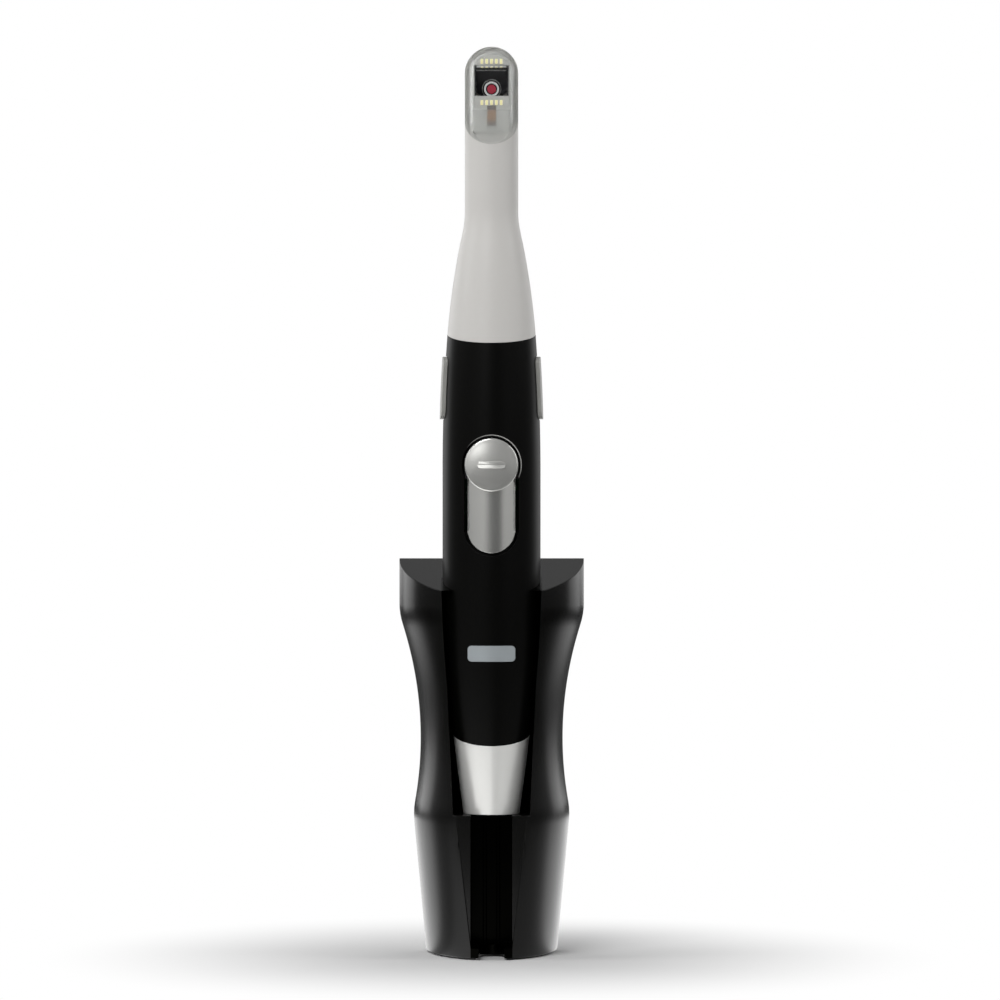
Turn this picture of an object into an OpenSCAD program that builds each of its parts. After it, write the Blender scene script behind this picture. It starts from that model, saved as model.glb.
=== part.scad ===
/* [Wand] */
// Length of the wand from its tail to the tip of its head
wand_len = 199.2; // [190:0.1:215]
// Diameter of the round head and neck
head_d = 13.88; // [13:0.02:15]
// Largest diameter of the grip
grip_d = 25.5; // [24.5:0.1:27]
// Diameter of the tail at its open end
tail_d = 14.6; // [14:0.1:16]
// Wall of the black grip shell
grip_wall = 1.6; // [1.4:0.05:1.8]
// Wall of the silver head shell
head_wall = 1.2; // [1:0.05:1.3]
// Height of the black and silver border at the neck, from the tail
neck_border = 124.4; // [118:0.1:128]
// Slant of that border, lower at the front
neck_slant = 12.5; // [8:0.5:16]
// Height of the border between grip and tail sleeve, from the tail
tail_border = 20.7; // [18:0.1:26]
// Slant of the tail border, lower at the front
tail_slant = 16.3; // [10:0.1:18]

/* [Head] */
// Height of the lower tip of the window below the top of the head
window_drop = 25.8; // [24.5:0.1:28]
// Height of the straight stretch of the window seam below the top of the head
seam_drop = 19.3; // [18.5:0.1:20]
// Depth of the flat front of the window before the wand axis
flat_y = 5.2; // [4.9:0.05:5.4]
// Thickness of the seal between window and shell
seal_t = 0.25; // [0.2:0.05:0.4]
// Width of the square viewing opening
view_w = 8.9; // [8:0.1:9]
// Height of the square viewing opening
view_h = 7.9; // [7:0.1:8.2]
// Width of one lamp
led_w = 0.7; // [0.6:0.05:0.9]
// Height of one lamp
led_h = 1.2; // [1:0.05:1.3]
// Distance between neighbouring lamps
led_pitch = 1.25; // [1.1:0.01:1.28]
// Outer diameter of the lens barrel
barrel_d = 5; // [4.6:0.05:5.2]

/* [Focus slide] */
// Diameter of the focus knob
knob_d = 13.7; // [13:0.1:14.5]
// Height of the knob face above the crown of the grip
knob_rise = 1.6; // [1.3:0.1:2.2]
// Height of the ridge across the knob face
ridge_h = 0.6; // [0.4:0.05:0.9]
// Height of the knob centre at the top of its slide, from the tail
knob_z = 90.4; // [86:0.1:93]
// Travel of the focus slide
focus_travel = 15; // [12:0.5:16]
// Width of the silver track plate
plate_w = 12.4; // [12:0.1:12.6]
// Width of the groove at each side of the track plate
groove_w = 0.8; // [0.7:0.05:0.9]
// Diameter of the focus rod
rod_d = 2; // [1.6:0.1:2.4]

/* [Side buttons] */
// Length of a side button along the grip
button_l = 16.2; // [14:0.1:18]
// Width of a side button
button_w = 7; // [6:0.1:8]
// Height of a side button above the grip
button_rise = 0.9; // [0.8:0.05:1.4]
// Height of the middle of the side buttons, from the tail
button_z = 110.5; // [109:0.1:112]
// Clearance all round a side button
button_gap = 0.15; // [0.1:0.05:0.2]

/* [Holder] */
// Height of the holder at its back edge
holder_h = 103.2; // [100:0.2:110]
// Depth of the holder from its flat back to its front edge
holder_depth = 29.7; // [29.2:0.1:31]
// Distance from the flat back to the wand axis
axis_back = 16.5; // [16:0.1:17.5]
// Width of the holder at its foot
foot_w = 34.4; // [33:0.2:38]
// Width of the holder at its waist
waist_w = 37.4; // [37:0.2:40]
// Height of the waist
waist_z = 56; // [54:0.5:58]
// Width of the holder at its shoulders
shoulder_w = 48.6; // [47:0.2:52]
// Height where the shoulders become straight
shoulder_z = 88.5; // [84:0.5:92]
// Height of the lower corner of the waist
knee_z = 36.8; // [34:0.2:40]
// Slope of the top face, down to the front
top_slope = 18.3; // [14:0.1:22]
// Wall of the holder shell
holder_wall = 1.6; // [1.4:0.05:1.7]
// Floor thickness of the holder
floor_t = 2.6; // [2.2:0.1:3.2]
// Height of the seat that carries the tail
seat_z = 37.1; // [35:0.1:42]
// Width of the cable channel below the seat
slot_w = 10.7; // [10:0.1:11.5]
// Width of the cable notch in the floor
notch_w = 6.5; // [6:0.1:8]
// Clearance between the wand and its channel
channel_gap = 0.3; // [0.2:0.05:0.35]
// Thickness of the foot pads that show below the floor
pad_rise = 0.5; // [0.4:0.05:0.8]

/* [Hidden] */
$fn = 64;
fit = 0.1;
slip = 0.05;
big = 400;
head_r = head_d / 2;
grip_r = grip_d / 2;
tail_r = tail_d / 2;
head_z = wand_len - head_r;

// Stations of the wand profile: height, radius, slope of the radius with height
neck_low = neck_border - 1;
tail_flare = 2.65;
grip_taper_l = 47.2;
neck_taper_l = 36.5;
neck_drop = 1.2;
neck_knee = 23;
neck_knee_r = 1.56;
neck_end = 32.5;
PROFILE = [
    [0, tail_r, 0.128],
    [tail_border, tail_r + tail_flare, 0.11],
    [tail_border + grip_taper_l, grip_r, 0],
    [neck_border - neck_taper_l, grip_r, 0],
    [neck_low, grip_r - neck_drop, -0.075],
    [neck_low + neck_knee, head_r + neck_knee_r, -0.19],
    [neck_low + neck_end, head_r, 0]
];
function hermite(a, b, z) =
    let (h = b[0] - a[0], t = (z - a[0]) / h)
    (2 * t ^ 3 - 3 * t ^ 2 + 1) * a[1] + (t ^ 3 - 2 * t ^ 2 + t) * h * a[2]
    + (3 * t ^ 2 - 2 * t ^ 3) * b[1] + (t ^ 3 - t ^ 2) * h * b[2];
function station(z, i = 0) = i >= len(PROFILE) - 2 || z <= PROFILE[i + 1][0] ? i : station(z, i + 1);
function wand_r(z) = z >= PROFILE[len(PROFILE) - 1][0] ? head_r
    : z <= 0 ? tail_r + z * PROFILE[0][2]
    : hermite(PROFILE[station(z)], PROFILE[station(z) + 1], z);

// Half outline of the wand, moved in by an inset, between two heights
ring_step = 3;
function outline(z0, z1, inset) =
    let (n = max(1, ceil((z1 - z0) / ring_step)))
    [for (i = [0:n]) let (z = z0 + (z1 - z0) * i / n) [wand_r(z) - inset, z]];
module round_body(z0, z1, inset) {
    rotate_extrude() polygon(concat([[0, z0]], outline(z0, z1, inset), [[0, z1]]));
}
module round_shell(z0, z1, outer, inner) {
    side = outline(z0, z1, outer);
    back = outline(z0, z1, inner);
    rotate_extrude() polygon(concat(side, [for (i = [len(back) - 1:-1:0]) back[i]]));
}
// The wand from a height to its tip, with the dome of the head, moved in by an inset
dome_steps = 12;
module domed_body(z0, inset) {
    r = head_r - inset;
    dome = [for (i = [0:dome_steps]) let (a = 90 * i / dome_steps) [r * cos(a), head_z + r * sin(a)]];
    rotate_extrude() polygon(concat([[0, z0]], outline(z0, head_z - 0.01, inset), dome));
}
// Everything above a plane through the axis at a height, lower at the front by the slant
module above(z, slant) {
    translate([0, 0, z]) rotate([slant, 0, 0]) translate([-big / 2, -big / 2, 0]) cube(big);
}
// A bar along X from an outline in the Y-Z plane
module bar(w, points) {
    rotate([90, 0, 90]) translate([0, 0, -w / 2]) linear_extrude(w) polygon(points);
}
module block(x, y0, y1, z0, z1) {
    translate([-x / 2, y0, z0]) cube([x, y1 - y0, z1 - z0]);
}
module upright_stadium(w, z0, z1, y0, y1) {
    translate([0, y1, 0]) rotate([90, 0, 0]) linear_extrude(y1 - y0) {
        translate([0, z0]) circle(d = w);
        translate([0, z1]) circle(d = w);
        translate([-w / 2, z0]) square([w, z1 - z0]);
    }
}
// A disc or tube along Y, from y0 back to y1
module disc_y(d, z, y0, y1) {
    translate([0, y1, z]) rotate([90, 0, 0]) cylinder(d = d, h = y1 - y0);
}

// Where the wand stands in the holder
knob_front = grip_r + knob_rise + ridge_h;
axis_y = (knob_front - axis_back) / 2;
back_y = axis_y + axis_back;
module in_stand() {
    translate([0, axis_y, seat_z]) children();
}

// Head
tip_z = wand_len;
window_low = tip_z - window_drop;
seam_z = tip_z - seam_drop;
seam_y = 0.3;
flat_low = window_low + 3;
flat_foot = window_low - 1;
flat_foot_y = head_r + 0.56;
far_y = 30;
top_margin = 20;
top_out = tip_z + top_margin;
// Region in front of the seam, moved in by an inset
function seam_outline(inset) = [
    [seam_y - inset, top_out], [seam_y - inset, seam_z],
    [-head_r, window_low + inset], [-far_y, window_low + inset], [-far_y, top_out]
];
// Region in front of the flat front of the window, moved back by an inset
function front_outline(inset) = [
    [inset - flat_y, top_out], [inset - flat_y, flat_low],
    [inset - flat_foot_y, flat_foot], [-far_y, flat_foot], [-far_y, top_out]
];
module head_solid(z0, inset) {
    difference() {
        domed_body(z0, inset);
        bar(big, front_outline(inset));
    }
}
head_fit = head_wall + fit;
neck_spigot = 1.5;
tail_spigot = 4;
spigot_wall = 1;
collar_h = 2;
spigot_out = grip_wall + fit;
spigot_in = spigot_out + spigot_wall;
neck_dip = grip_r * tan(neck_slant);
collar_z = neck_border + neck_dip + collar_h;
tail_dip = grip_r * tan(tail_slant);

module head_shell() {
    spigot_z = neck_border - neck_dip - neck_spigot;
    color([0.82, 0.81, 0.79]) in_stand() difference() {
        union() {
            intersection() {
                head_solid(neck_border - neck_dip, 0);
                above(neck_border, neck_slant);
            }
            round_body(spigot_z, collar_z, spigot_out);
        }
        round_body(spigot_z - 1, collar_z + 1, spigot_in);
        head_solid(collar_z, head_wall);
        bar(big, seam_outline(0));
    }
}
module window_region(inset) {
    intersection() {
        head_solid(window_low - 2, 0);
        bar(big, seam_outline(inset));
    }
}
module front_window() {
    color([0.78, 0.78, 0.76, 0.4]) in_stand() difference() {
        window_region(seal_t);
        head_solid(window_low - 3, head_wall);
    }
}
module window_seal() {
    color([0.45, 0.45, 0.44]) in_stand() difference() {
        window_region(0);
        head_solid(window_low - 3, head_wall);
        bar(big, seam_outline(seal_t));
    }
}

// Lamp board behind the window, with a skirt that follows the inside of the window
board_front = 3.2;
board_t = 0.8;
view_drop = 5.1;
view_top = tip_z - view_drop;
view_low = view_top - view_h;
led_t = 0.3;
led_count = 5;
led_above = 1;
led_below = 1.8;
led_upper_z = view_top + led_above;
led_lower_z = view_low - led_below;
board_drop = 11.6;
skirt_t = 0.5;
skirt_in = head_fit + skirt_t;
board_low = view_low - board_drop;
module led_board() {
    color([0.74, 0.74, 0.72]) in_stand() difference() {
        intersection() {
            head_solid(board_low - 1, head_fit);
            block(big, -board_front, seam_y, board_low, top_out);
        }
        intersection() {
            head_solid(board_low - 2, skirt_in);
            block(big, board_t - board_front, head_r, board_low - 1, top_out);
        }
        block(view_w, -board_front - 1, 0, view_low, view_top);
    }
}
module led(i, z) {
    x = (i - (led_count - 1) / 2) * led_pitch;
    color([1, 0.96, 0.78]) in_stand() translate([x, 0, 0])
        block(led_w, -board_front - led_t, -board_front, z - led_h / 2, z + led_h / 2);
}
flex_w = 2.2;
flex_t = 0.2;
flex_top = led_lower_z - led_h / 2 - 0.2;
flex_l = 5.1;
flex_low = flex_top - flex_l;
module led_flex() {
    color([0.64, 0.58, 0.52]) in_stand()
        block(flex_w, -board_front - flex_t, -board_front, flex_low, flex_top);
}

// Mirror box, with its mirror at 45 degrees over the lens barrel
box_wall = 0.5;
box_front = board_t - board_front;
mirror_t = 0.6;
barrel_y = 2.4;
mirror_drop = 1.5;
mirror_mid = (view_top + view_low) / 2 - mirror_drop + barrel_y;
barrel_l = 9.3;
barrel_low = view_low - barrel_l;
box_floor = 1;
box_w = view_w - 2 * box_wall;
mirror_run = mirror_t * sqrt(2);
module mirror_box() {
    color([0.07, 0.07, 0.07]) in_stand() difference() {
        intersection() {
            head_solid(board_low, skirt_in + slip);
            block(view_w, box_front, head_r, view_low - box_floor, view_top + box_wall);
        }
        bar(box_w, [
            [-head_r, view_low], [mirror_mid + mirror_run - view_low, view_low],
            [mirror_mid + mirror_run - view_top, view_top], [-head_r, view_top]
        ]);
        translate([0, barrel_y, board_low]) cylinder(d = barrel_d + 2 * slip, h = view_low - board_low + 1);
    }
}
module fold_mirror() {
    color([0.75, 0.78, 0.8]) in_stand() intersection() {
        head_solid(board_low, skirt_in + slip);
        bar(box_w - 2 * slip, [
            [mirror_mid - view_low - slip, view_low + slip],
            [mirror_mid + mirror_run - view_low - slip, view_low + slip],
            [mirror_mid + mirror_run - view_top, view_top - slip],
            [mirror_mid - view_top, view_top - slip]
        ]);
    }
}

// Lens barrel with its two lenses and the bright retaining ring
glass_d = 3.4;
iris_d = 2.4;
ring_d = 4;
ring_in = 3;
lens_t = 1.6;
lip_t = 0.4;
module barrel_space(d, z0, z1) {
    translate([0, barrel_y, z0]) cylinder(d = d, h = z1 - z0);
}
module lens_barrel() {
    color([0.1, 0.1, 0.1]) in_stand() difference() {
        barrel_space(barrel_d, barrel_low, view_low);
        barrel_space(iris_d, barrel_low - 1, view_low + 1);
        barrel_space(glass_d, view_low - lip_t - lens_t, view_low + 1);
        barrel_space(ring_d, view_low - lip_t, view_low + 1);
        barrel_space(glass_d, barrel_low - 1, barrel_low + lens_t);
    }
}
module lens_retainer() {
    color([0.8, 0.8, 0.8]) in_stand() difference() {
        barrel_space(ring_d - 2 * slip, view_low - lip_t, view_low);
        barrel_space(ring_in, view_low - lip_t - 1, view_low + 1);
    }
}
module front_lens() {
    color([0.5, 0.12, 0.1]) in_stand()
        barrel_space(glass_d - 2 * slip, view_low - lip_t - lens_t, view_low - lip_t);
}
module rear_lens() {
    color([0.6, 0.65, 0.7]) in_stand()
        barrel_space(glass_d - 2 * slip, barrel_low, barrel_low + lens_t);
}

// Sensor carriage on the focus rod, below the lens barrel
rod_y = -3.2;
carriage_h = 8;
carriage_gap = 0.35;
sensor_board_t = 0.8;
sensor_t = 0.7;
carriage_top = flat_foot - 0.3 + sensor_board_t + sensor_t;
carriage_low = carriage_top - carriage_h;
module carriage_round(z0, z1) {
    intersection() {
        cylinder(r = head_r - head_wall - carriage_gap, h = wand_len);
        block(big, -head_r, head_r, z0, z1);
    }
}
module sensor_carriage() {
    color([0.15, 0.15, 0.16]) in_stand() difference() {
        carriage_round(carriage_low, carriage_top - sensor_board_t - sensor_t);
        translate([0, rod_y, 0]) cylinder(d = rod_d + 2 * slip, h = wand_len);
    }
}
module sensor_board() {
    color([0.1, 0.3, 0.18]) in_stand() intersection() {
        carriage_round(carriage_top - sensor_t - sensor_board_t, carriage_top - sensor_t);
        block(big, rod_y + rod_d / 2 + 0.4, head_r, 0, wand_len);
    }
}
sensor_w = 4;
module image_sensor() {
    color([0.25, 0.22, 0.3]) in_stand()
        block(sensor_w, barrel_y - sensor_w / 2 - 0.3, barrel_y + sensor_w / 2 - 0.3,
            carriage_top - sensor_t, carriage_top);
}

// Focus knob, its claws, shoe and rod
knob_r = knob_d / 2;
plate_r = plate_w / 2;
claw_t = groove_w - 0.35;
claw_x = plate_r + fit;
claw_half = 1.5;
crown = grip_r;
knob_under = 0.15;
claw_root = sqrt((crown + knob_under) ^ 2 - claw_x ^ 2) + 0.4;
face_y = -grip_r - knob_rise;
rim_bevel = 0.6;
plate_t = 0.7;
pocket_depth = plate_t + fit;
shoe_top = grip_r - grip_wall - 2.9;
shoe_t = 1.2;
shoe_h = 7;
arm_w = 4;
module focus_knob() {
    ridge_w = 7.3;
    ridge_t = 1.8;
    dome = 0.35;
    color([0.71, 0.71, 0.69]) in_stand() {
        difference() {
            translate([0, 0, knob_z]) rotate([90, 0, 0]) rotate_extrude() polygon([
                [0, 0], [knob_r, 0], [knob_r, -face_y - rim_bevel - dome],
                [knob_r - rim_bevel / 2, -face_y - rim_bevel / 3 - dome],
                [knob_r - rim_bevel, -face_y - dome], [knob_r / 2, -face_y - dome / 4], [0, -face_y]
            ]);
            translate([0, 0, knob_z - knob_d]) cylinder(r = crown + knob_under, h = 2 * knob_d);
        }
        translate([(ridge_t - ridge_w) / 2, -knob_front, knob_z]) rotate([-90, 0, 0]) {
            cylinder(d = ridge_t, h = ridge_h + dome);
            translate([ridge_w - ridge_t, 0, 0]) cylinder(d = ridge_t, h = ridge_h + dome);
            translate([0, -ridge_t / 2, 0]) cube([ridge_w - ridge_t, ridge_t, ridge_h + dome]);
        }
        for (side = [-1, 1]) translate([side * (claw_x + claw_t / 2), 0, 0])
            block(claw_t, -claw_root, shoe_t - shoe_top, knob_z - claw_half, knob_z + claw_half);
    }
}
module knob_shoe() {
    shoe_w = 2 * (claw_x + claw_t) + 0.8;
    color([0.3, 0.3, 0.32]) in_stand() difference() {
        union() {
            block(shoe_w, -shoe_top, shoe_t - shoe_top, knob_z - shoe_h / 2, knob_z + shoe_h / 2);
            block(arm_w, shoe_t - shoe_top, rod_y + rod_d, knob_z - shoe_h / 2, knob_z + shoe_h / 2);
        }
        for (side = [-1, 1]) translate([side * (claw_x + claw_t / 2), 0, 0])
            block(claw_t + 2 * slip, -crown, 0, knob_z - claw_half - slip, knob_z + claw_half + slip);
        translate([0, rod_y, 0]) cylinder(d = rod_d + 2 * slip, h = wand_len);
    }
}
rod_low = knob_z - shoe_h / 2;
module focus_rod() {
    color([0.7, 0.7, 0.7]) in_stand() translate([0, rod_y, rod_low])
        cylinder(d = rod_d, h = carriage_top - sensor_t - sensor_board_t - rod_low);
}

// Grip shell with its pocket, grooves and button openings
pocket_top = knob_z;
plate_low = knob_z - focus_travel - 1.5;
groove_r = plate_r + groove_w;
recess_r = knob_r + 0.75;
slot_ends = claw_half + 0.3;
badge_z = 41.8;
badge_w = 12.3;
badge_h = 4.1;
badge_t = 0.3;
module button_prism(grow, x0, x1) {
    w = button_w + 2 * grow;
    l = button_l + 2 * grow;
    corner = 2 + grow;
    translate([x0, 0, button_z]) rotate([0, 90, 0]) linear_extrude(x1 - x0) {
        square([l - 2 * corner, w], center = true);
        square([l, w - 2 * corner], center = true);
        for (u = [-1, 1], v = [-1, 1])
            translate([u * (l / 2 - corner), v * (w / 2 - corner)]) circle(corner);
    }
}
module pocket() {
    upright_stadium(2 * groove_r, plate_low, pocket_top, -big / 8, 0);
    disc_y(2 * recess_r, pocket_top, -big / 8, 0);
}
module grip_shell() {
    color([0.06, 0.06, 0.05]) in_stand() difference() {
        intersection() {
            round_shell(tail_border - tail_dip, neck_border + neck_dip, 0, grip_wall);
            above(tail_border, tail_slant);
        }
        above(neck_border, neck_slant);
        intersection() {
            round_shell(plate_low - 2 * groove_r, knob_z + 2 * recess_r, -1, pocket_depth);
            pocket();
        }
        for (side = [-1, 1]) translate([side * (plate_r + groove_w / 2), 0, 0])
            block(groove_w, -big / 8, -shoe_top + shoe_t / 2, knob_z - focus_travel - slot_ends, knob_z + slot_ends);
        for (side = [0, 180]) rotate(side) button_prism(button_gap, 1, big / 8);
        badge_prism(slip);
    }
}
module badge_prism(grow) {
    h = badge_h + 2 * grow;
    w = badge_w + 2 * grow;
    corner = 1;
    intersection() {
        round_shell(badge_z - badge_h, badge_z + badge_h, -grow, badge_t);
        translate([0, -1, badge_z]) rotate([90, 0, 0]) linear_extrude(2 * grip_r) {
            square([w - 2 * corner, h], center = true);
            square([w, h - 2 * corner], center = true);
            for (u = [-1, 1], v = [-1, 1])
                translate([u * (w / 2 - corner), v * (h / 2 - corner)]) circle(corner);
        }
    }
}
module badge() {
    color([0.6, 0.63, 0.66]) in_stand() badge_prism(0);
}
module track_plate() {
    color([0.62, 0.62, 0.6]) in_stand() intersection() {
        round_shell(plate_low - 2 * groove_r, knob_z + 2 * recess_r, fit, pocket_depth);
        upright_stadium(plate_w, plate_low, pocket_top, -big / 8, 0);
    }
}

// Side buttons with their plungers and switches
flange_t = 1;
flange_w = 0.7;
button_travel = 0.6;
button_back = grip_wall + fit + flange_t;
switch_x = 6.4;
switch_l = 2.1;
switch_h = 5;
plunger_d = 1.6;
plunger_x = switch_x + switch_l - 0.7;
board_y = 2.6;
module one_button() {
    reach = button_l / 2 + 2;
    intersection() {
        button_prism(0, switch_x, 2 * grip_r);
        round_shell(button_z - reach, button_z + reach, -button_rise, button_back);
    }
    intersection() {
        button_prism(flange_w, switch_x, 2 * grip_r);
        round_shell(button_z - reach, button_z + reach, grip_wall + fit, button_back);
    }
}
module one_plunger() {
    // The plunger ends on the flat-cut chord of the button back
    intersection() {
        translate([plunger_x, 0, button_z]) rotate([0, 90, 0]) cylinder(d = plunger_d, h = grip_r);
        round_body(button_z - 2, button_z + 2, button_back);
    }
}
module one_switch() {
    difference() {
        translate([switch_x, -board_y / 2 - 0.6, button_z - switch_h / 2])
            cube([switch_l, board_y * 1.5 + 0.6, switch_h]);
        translate([plunger_x - button_travel - 0.2, 0, button_z]) rotate([0, 90, 0])
            cylinder(d = plunger_d + 2 * slip, h = grip_r);
    }
}
module right_button() { color([0.55, 0.55, 0.54]) in_stand() one_button(); }
module left_button() { color([0.55, 0.55, 0.54]) in_stand() rotate(180) one_button(); }
module right_plunger() { color([0.2, 0.2, 0.2]) in_stand() one_plunger(); }
module left_plunger() { color([0.2, 0.2, 0.2]) in_stand() rotate(180) one_plunger(); }
module right_switch() { color([0.75, 0.75, 0.72]) in_stand() one_switch(); }
module left_switch() { color([0.75, 0.75, 0.72]) in_stand() mirror([1, 0, 0]) one_switch(); }

// Chassis plate across the grip, main board on it
board_t2 = 1.2;
standoff = 0.6;
chassis_t = 1.4;
board_w = 15.6;
board_above_tail = 14;
board_above_button = 4.5;
board_low_z = tail_border + board_above_tail;
board_top_z = button_z + board_above_button;
chassis_y = board_y + board_t2 + standoff;
chassis_low = tail_border + tail_dip + tail_spigot + 1;
chassis_top = board_top_z + 1;
screw_d = 1.4;
screw_head_d = 2.6;
screw_head_t = 0.8;
screw_inset = 1.7;
screw_x = board_w / 2 - screw_inset;
screw_above_end = 4;
screw_below_button = 12;
SCREWS = [for (x = [-screw_x, screw_x], z = [board_low_z + screw_above_end, button_z - screw_below_button])
    [x, z]];
module chassis() {
    color([0.25, 0.25, 0.26]) in_stand() difference() {
        union() {
            intersection() {
                round_body(chassis_low, chassis_top, grip_wall + fit);
                block(big, chassis_y, chassis_y + chassis_t, 0, wand_len);
            }
            for (p = SCREWS) translate([p[0], 0, 0]) disc_y(2 * screw_d, p[1], board_y + board_t2, chassis_y + 0.1);
        }
        for (p = SCREWS) translate([p[0], 0, 0]) disc_y(screw_d + 2 * slip, p[1], board_y, grip_r);
    }
}
module main_board() {
    color([0.08, 0.3, 0.16]) in_stand() difference() {
        block(board_w, board_y, board_y + board_t2, board_low_z, board_top_z);
        for (p = SCREWS) translate([p[0], 0, 0]) disc_y(screw_d + 2 * slip, p[1], 0, grip_r);
    }
}
module board_screws() {
    color([0.75, 0.75, 0.75]) in_stand() for (p = SCREWS) translate([p[0], 0, 0]) {
        disc_y(screw_head_d, p[1], board_y - screw_head_t, board_y);
        disc_y(screw_d, p[1], board_y - 0.1, chassis_y + chassis_t);
    }
}
chip_t = 1.1;
processor_w = 9;
processor_up = 26;
processor_z = board_low_z + processor_up;
memory_w = 5;
memory_l = 8;
memory_up = 10;
memory_z = board_low_z + memory_up;
module processor_chip() {
    color([0.1, 0.1, 0.1]) in_stand()
        block(processor_w, board_y - chip_t, board_y, processor_z, processor_z + processor_w);
}
module memory_chip() {
    color([0.12, 0.12, 0.12]) in_stand()
        block(memory_w, board_y - chip_t, board_y, memory_z, memory_z + memory_l);
}

// Guide disc for the focus rod, seated on the collar of the head shell
guide_t = 2;
wire_d = 3;
module rod_guide() {
    color([0.3, 0.3, 0.3]) in_stand() difference() {
        round_body(collar_z, collar_z + guide_t, head_fit);
        translate([0, rod_y, 0]) cylinder(d = rod_d + 2 * slip, h = wand_len);
        translate([0, -rod_y, 0]) cylinder(d = wire_d, h = wand_len);
    }
}

// Tail sleeve and cable inlet
tail_wall = 1.2;
tail_floor = 2.4;
plug_d = 7.6;
inlet_d = 9;
inlet_h = 12;
insert_d = 8;
insert_z = 7;
contact_d = 1;
contact_hole_d = 0.6;
contact_ring_r = 2.4;
contact_count = 8;
nut_w = 11;
nut_t = 2;
module tail_sleeve() {
    low = tail_border - tail_dip - collar_h;
    high = tail_border + tail_dip + tail_spigot;
    color([0.75, 0.75, 0.73]) in_stand() difference() {
        union() {
            difference() {
                round_body(0, tail_border + tail_dip, 0);
                above(tail_border, tail_slant);
            }
            round_body(low, high, spigot_out);
        }
        round_body(tail_floor, low, tail_wall);
        round_body(low - 1, high + 1, spigot_in);
        translate([0, 0, -1]) cylinder(d = inlet_d + 2 * slip, h = inlet_h);
    }
}
module connector_shell() {
    color([0.7, 0.7, 0.7]) in_stand() difference() {
        cylinder(d = inlet_d, h = inlet_h);
        translate([0, 0, -1]) cylinder(d = plug_d, h = inlet_h + 2);
        translate([0, 0, insert_z]) cylinder(d = insert_d, h = inlet_h);
    }
}
module contact_ring(d, z0, z1) {
    for (i = [1:contact_count]) rotate(i * 360 / contact_count)
        translate([contact_ring_r, 0, z0]) cylinder(d = d, h = z1 - z0);
}
module connector_insert() {
    color([0.1, 0.1, 0.1]) in_stand() difference() {
        translate([0, 0, insert_z]) cylinder(d = insert_d - 2 * slip, h = inlet_h - insert_z);
        contact_ring(contact_d + 2 * slip, insert_z - 1, inlet_h + 1);
    }
}
module contact_sockets() {
    color([0.85, 0.7, 0.35]) in_stand() difference() {
        contact_ring(contact_d, insert_z, inlet_h);
        contact_ring(contact_hole_d, insert_z - 1, inlet_h - 1);
    }
}
module connector_nut() {
    color([0.65, 0.65, 0.65]) in_stand() difference() {
        translate([0, 0, tail_floor]) cylinder(d = nut_w, h = nut_t, $fn = 6);
        cylinder(d = inlet_d + 2 * slip, h = inlet_h);
    }
}

// Holder: a half-oval loft with a straight flat back, its front to -Y
module in_holder() {
    translate([0, back_y, 0]) children();
}
function wide(z) = z >= shoulder_z ? shoulder_w
    : waist_w + (shoulder_w - waist_w) * ((z - waist_z) / (shoulder_z - waist_z)) ^ 2;
function holder_w(z) = z < knee_z ? foot_w + (wide(knee_z) - foot_w) * z / knee_z : wide(z);
loft_steps = 10;
oval_steps = 28;
function levels(z0, z1) = concat([z0], [for (i = [0:loft_steps])
    let (z = knee_z + (shoulder_z - knee_z) * i / loft_steps) if (z > z0 && z < z1) z], [z1]);
function half_oval(w, depth) = [for (i = [0:oval_steps])
    let (a = 180 * i / oval_steps) [w / 2 * cos(a), -depth * sin(a)]];
function back_edge(w, behind) = behind > 0 ? [[-w / 2, behind], [w / 2, behind]] : [];
function plan(w, inset, behind) =
    concat(half_oval(w - 2 * inset, holder_depth - inset), back_edge(w - 2 * inset, behind));
module loft(z0, z1, inset, behind) {
    zs = levels(z0, z1);
    m = len(plan(1, 0, behind));
    n = len(zs);
    walls = [for (k = [0:n - 2], i = [0:m - 1]) let (j = (i + 1) % m, a = k * m, b = a + m)
        each [[a + j, b + j, b + i], [a + j, b + i, a + i]]];
    polyhedron(
        [for (z = zs) each [for (p = plan(holder_w(z), inset, behind)) [p[0], p[1], z]]],
        concat(walls, [[for (i = [0:m - 1]) (n - 1) * m + i], [for (i = [m - 1:-1:0]) i]])
    );
}
// Channel that takes the wand: round behind, straight to the front
mouth_w = 19.9;
channel_top = holder_h + 1;
function mouth_r(z) = mouth_w / 2
    + (grip_r + channel_gap - mouth_w / 2) * (z - seat_z) / (channel_top - seat_z);
function channel_r(z) = max(wand_r(z - seat_z) + channel_gap, mouth_r(max(z, seat_z)));
function channel_side(z0, grow) = let (n = ceil((channel_top - z0) / ring_step))
    [for (i = [0:n]) let (z = z0 + (channel_top - z0) * i / n) [channel_r(z) + grow, z]];
module channel(z0, grow) {
    side = channel_side(z0, grow);
    translate([0, -axis_back, 0]) {
        rotate_extrude() polygon(concat([[0, z0]], side, [[0, channel_top]]));
        rotate([90, 0, 0]) linear_extrude(2 * holder_depth)
            polygon(concat(side, [for (i = [len(side) - 1:-1:0]) [-side[i][0], side[i][1]]]));
    }
}
slot_back = 6;
floor_top = pad_rise + floor_t;
seat_t = 2;
rib_x = 1.75;
rib_w = 0.8;
rib_h = 1;
notch_l = 11;
lid_drop = holder_wall / cos(top_slope);
plate_thick = 1.6;
boss_d = 4.4;
back_screw_d = 1.8;
back_screw_l = 8;
back_head_d = 3.6;
boss_inset = 6.6;
boss_low = 9;
boss_drop = 11.2;
BOSSES = [for (side = [-1, 1], z = [boss_low, holder_h - boss_drop])
    [side * (holder_w(z) / 2 - boss_inset), z]];
module slot(grow, z0, z1) {
    block(slot_w + 2 * grow, -2 * holder_depth, slot_back + grow - axis_back, z0, z1);
}
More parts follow.
